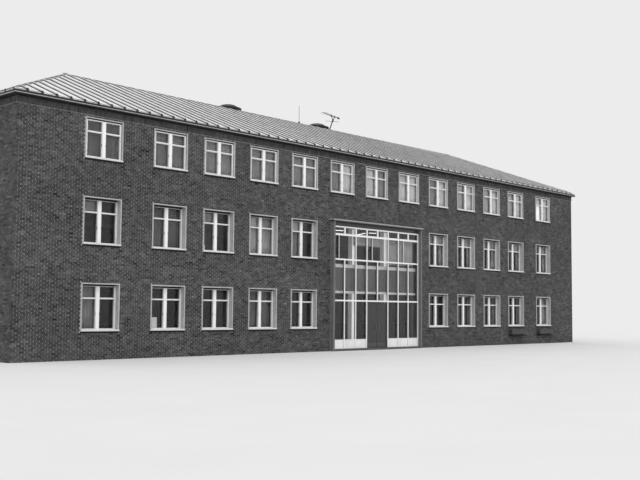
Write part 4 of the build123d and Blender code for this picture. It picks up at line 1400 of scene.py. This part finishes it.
def make_box_bearers():
    """Two bearers under each window box, painted near black as the shadow beneath it."""
    low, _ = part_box("window_boxes")
    bearers = Shape()
    for number in BOX_WINDOWS:
        x0, x1 = window_x(number) - BEARER_HALF, window_x(number) + BEARER_HALF
        for y0, y1 in ((low.y + 0.004, low.y + 0.05), (-HALF_DEPTH - 0.06, -HALF_DEPTH - 0.006)):
            bearers.box((x0, y0, low.z - BEARER_HEIGHT), (x1, y1, low.z - 0.0005))
    make("box_bearers", bearers, ["gap"])


def make_soil():
    """Uneven soil in the two troughs."""
    shape = Shape()
    width = SOIL_COLUMNS + 1
    corners = [row * width + n for row in range(SOIL_ROWS) for n in range(SOIL_COLUMNS)]
    for number in BOX_WINDOWS:
        points = []
        for row in range(SOIL_ROWS + 1):
            y = SOIL_FRONT + (SOIL_BACK - SOIL_FRONT) * row / SOIL_ROWS
            for n in range(width):
                x = window_x(number) + SOIL_HALF * (2 * n / SOIL_COLUMNS - 1)
                lumps = noise.noise((x * 9, y * 9, 1.0))
                crumbs = noise.noise((x * 30, y * 30, 2.0))
                points.append((x, y, SOIL_LEVEL + 0.018 * lumps + 0.008 * crumbs))
        shape.add(points, [(a, a + 1, a + width + 1, a + width) for a in corners])
    make("box_soil", shape, ["soil"], smooth=60, solid=0.012)


# Nodes of the fixed frame that each paint covers, and the width of their chamfers
NODE_PAINTS = {
    "wall": (["front_wall_left", "front_wall_right", "front_wall_over_entrance", "back_wall", "left_wall",
              "right_wall", "eaves_band"], 0.0),
    "concrete": (["ground_floor", "first_floor", "second_floor", "attic_floor"], 0.0),
    "roof_x": (["roof_front", "roof_back"], 0.0),
    "roof_y": (["roof_left", "roof_right"], 0.0),
    "plaster": (["hall_pillars"], 0.0),
    "glass": (["window_glass"], 0.0),
    "upstand": (["entrance_upstand"], 0.0),
    "door": (["door_leaf_left", "door_leaf_right"], 0.0),
    "cap": (["ridge_cap", "hip_caps"], 0.012),
    "cover": (["ridge_end_covers"], 0.012),
    "eaves": (["eaves_fascia"], 0.002),
    "board": (["eaves_soffit"], 0.003),
    "gutter": (["eaves_gutter"], 0.0015),
    "stone": (["window_surrounds"], 0.005),
    "sill": (["window_sills"], 0.005),
    "portal": (["portal_head", "entrance_threshold"], 0.005),
    "jamb": (["portal_jambs"], 0.005),
    "screen": (["screen_sides", "screen_over_door"], 0.003),
    "panel": (["screen_base_panels"], 0.002),
    "dark": (["screen_head_panel", "door_frame"], 0.003),
    "box": (["window_boxes"], 0.004),
}


def dress_frame():
    """Finishes for the nodes of the fixed frame that stay in view."""
    for paint, (nodes, bevel) in NODE_PAINTS.items():
        for node in nodes:
            dress(node, paint, bevel)


CAMERA_PLACE = Vector((-35.962, -35.606, 1.862))
CAMERA_YAW = math.radians(46.897)
CAMERA_PITCH = math.radians(4.195)
CAMERA_ROLL = math.radians(0.484)
CAMERA_LENS = 54.0
SENSOR_WIDTH = 36.0


def make_camera():
    """A camera at the viewing angle, low and far to the left of the front."""
    level = math.cos(CAMERA_PITCH)
    ahead = Vector((math.sin(CAMERA_YAW) * level, math.cos(CAMERA_YAW) * level, math.sin(CAMERA_PITCH)))
    right = Vector((math.cos(CAMERA_YAW), -math.sin(CAMERA_YAW), 0))
    up = right.cross(ahead)
    tilted = math.cos(CAMERA_ROLL) * right + math.sin(CAMERA_ROLL) * up
    up = math.cos(CAMERA_ROLL) * up - math.sin(CAMERA_ROLL) * right
    data = bpy.data.cameras.new("camera")
    data.lens = CAMERA_LENS
    data.sensor_width = SENSOR_WIDTH
    data.clip_end = 1000.0
    camera = add_object("camera", data)
    turn = Matrix((tilted, up, -ahead)).transposed().to_4x4()
    camera.matrix_world = Matrix.Translation(CAMERA_PLACE) @ turn
    bpy.context.scene.camera = camera


FLOOR_HALF = 300
SKY = 0.84
SKY_ON_OBJECT = 0.92
SUN_STRENGTH = 0.9


def make_floor():
    """A pale level floor that is no part of the object."""
    half = FLOOR_HALF
    mesh = bpy.data.meshes.new("floor")
    corners = [(-half, -half, 0), (half, -half, 0), (half, half, 0), (-half, half, 0)]
    mesh.from_pydata(corners, [], [(0, 1, 2, 3)])
    floor = add_object("floor", mesh)
    paint = Paint("plain_floor", Roughness=0.9, Specular_IOR_Level=0.1)
    paint.link(paint.cloud(0.4, 0.73, 0.75, 2.0), "Base Color")
    mesh.materials.append(paint.material)


def make_light():
    """An even overcast sky, plain where it is seen, and a broad soft lamp."""
    world = bpy.data.worlds.new("sky")
    bpy.context.scene.world = world
    world.use_nodes = True
    tree = world.node_tree
    shade = tree.nodes["Background"]
    shade.inputs["Color"].default_value = WHITE
    path = put(tree, "ShaderNodeLightPath", {}).outputs
    seen = path["Is Camera Ray"]
    for name in ("Is Glossy Ray", "Is Transmission Ray"):
        seen = put(tree, "ShaderNodeMath", {0: seen, 1: path[name]}, operation="MAXIMUM").outputs[0]
    levels = {"Value": seen, "To Min": SKY_ON_OBJECT, "To Max": SKY}
    strength = put(tree, "ShaderNodeMapRange", levels).outputs["Result"]
    tree.links.new(strength, shade.inputs["Strength"])
    lamp = bpy.data.lights.new("soft_sun", "SUN")
    lamp.energy = SUN_STRENGTH
    lamp.angle = math.radians(40)
    add_object("soft_sun", lamp).rotation_euler = (math.radians(42), 0, math.radians(-28))
    bpy.context.scene.view_settings.view_transform = "Standard"


make_camera()
make_floor()
make_light()
dress_frame()
make_bricks()
make_sill_shadow_strips()
make_window_frames()
make_curtain_rails()
make_curtains()
make_blinds()
make_papers()
make_rolls()
make_pan_edge_shadows()
make_vents()
make_pipe()
make_aerial()
make_gutter_fittings()
make_entrance()
make_portal_flashing()
make_lamps()
make_hall_blinds()
make_doors()
make_box_bearers()
make_soil()
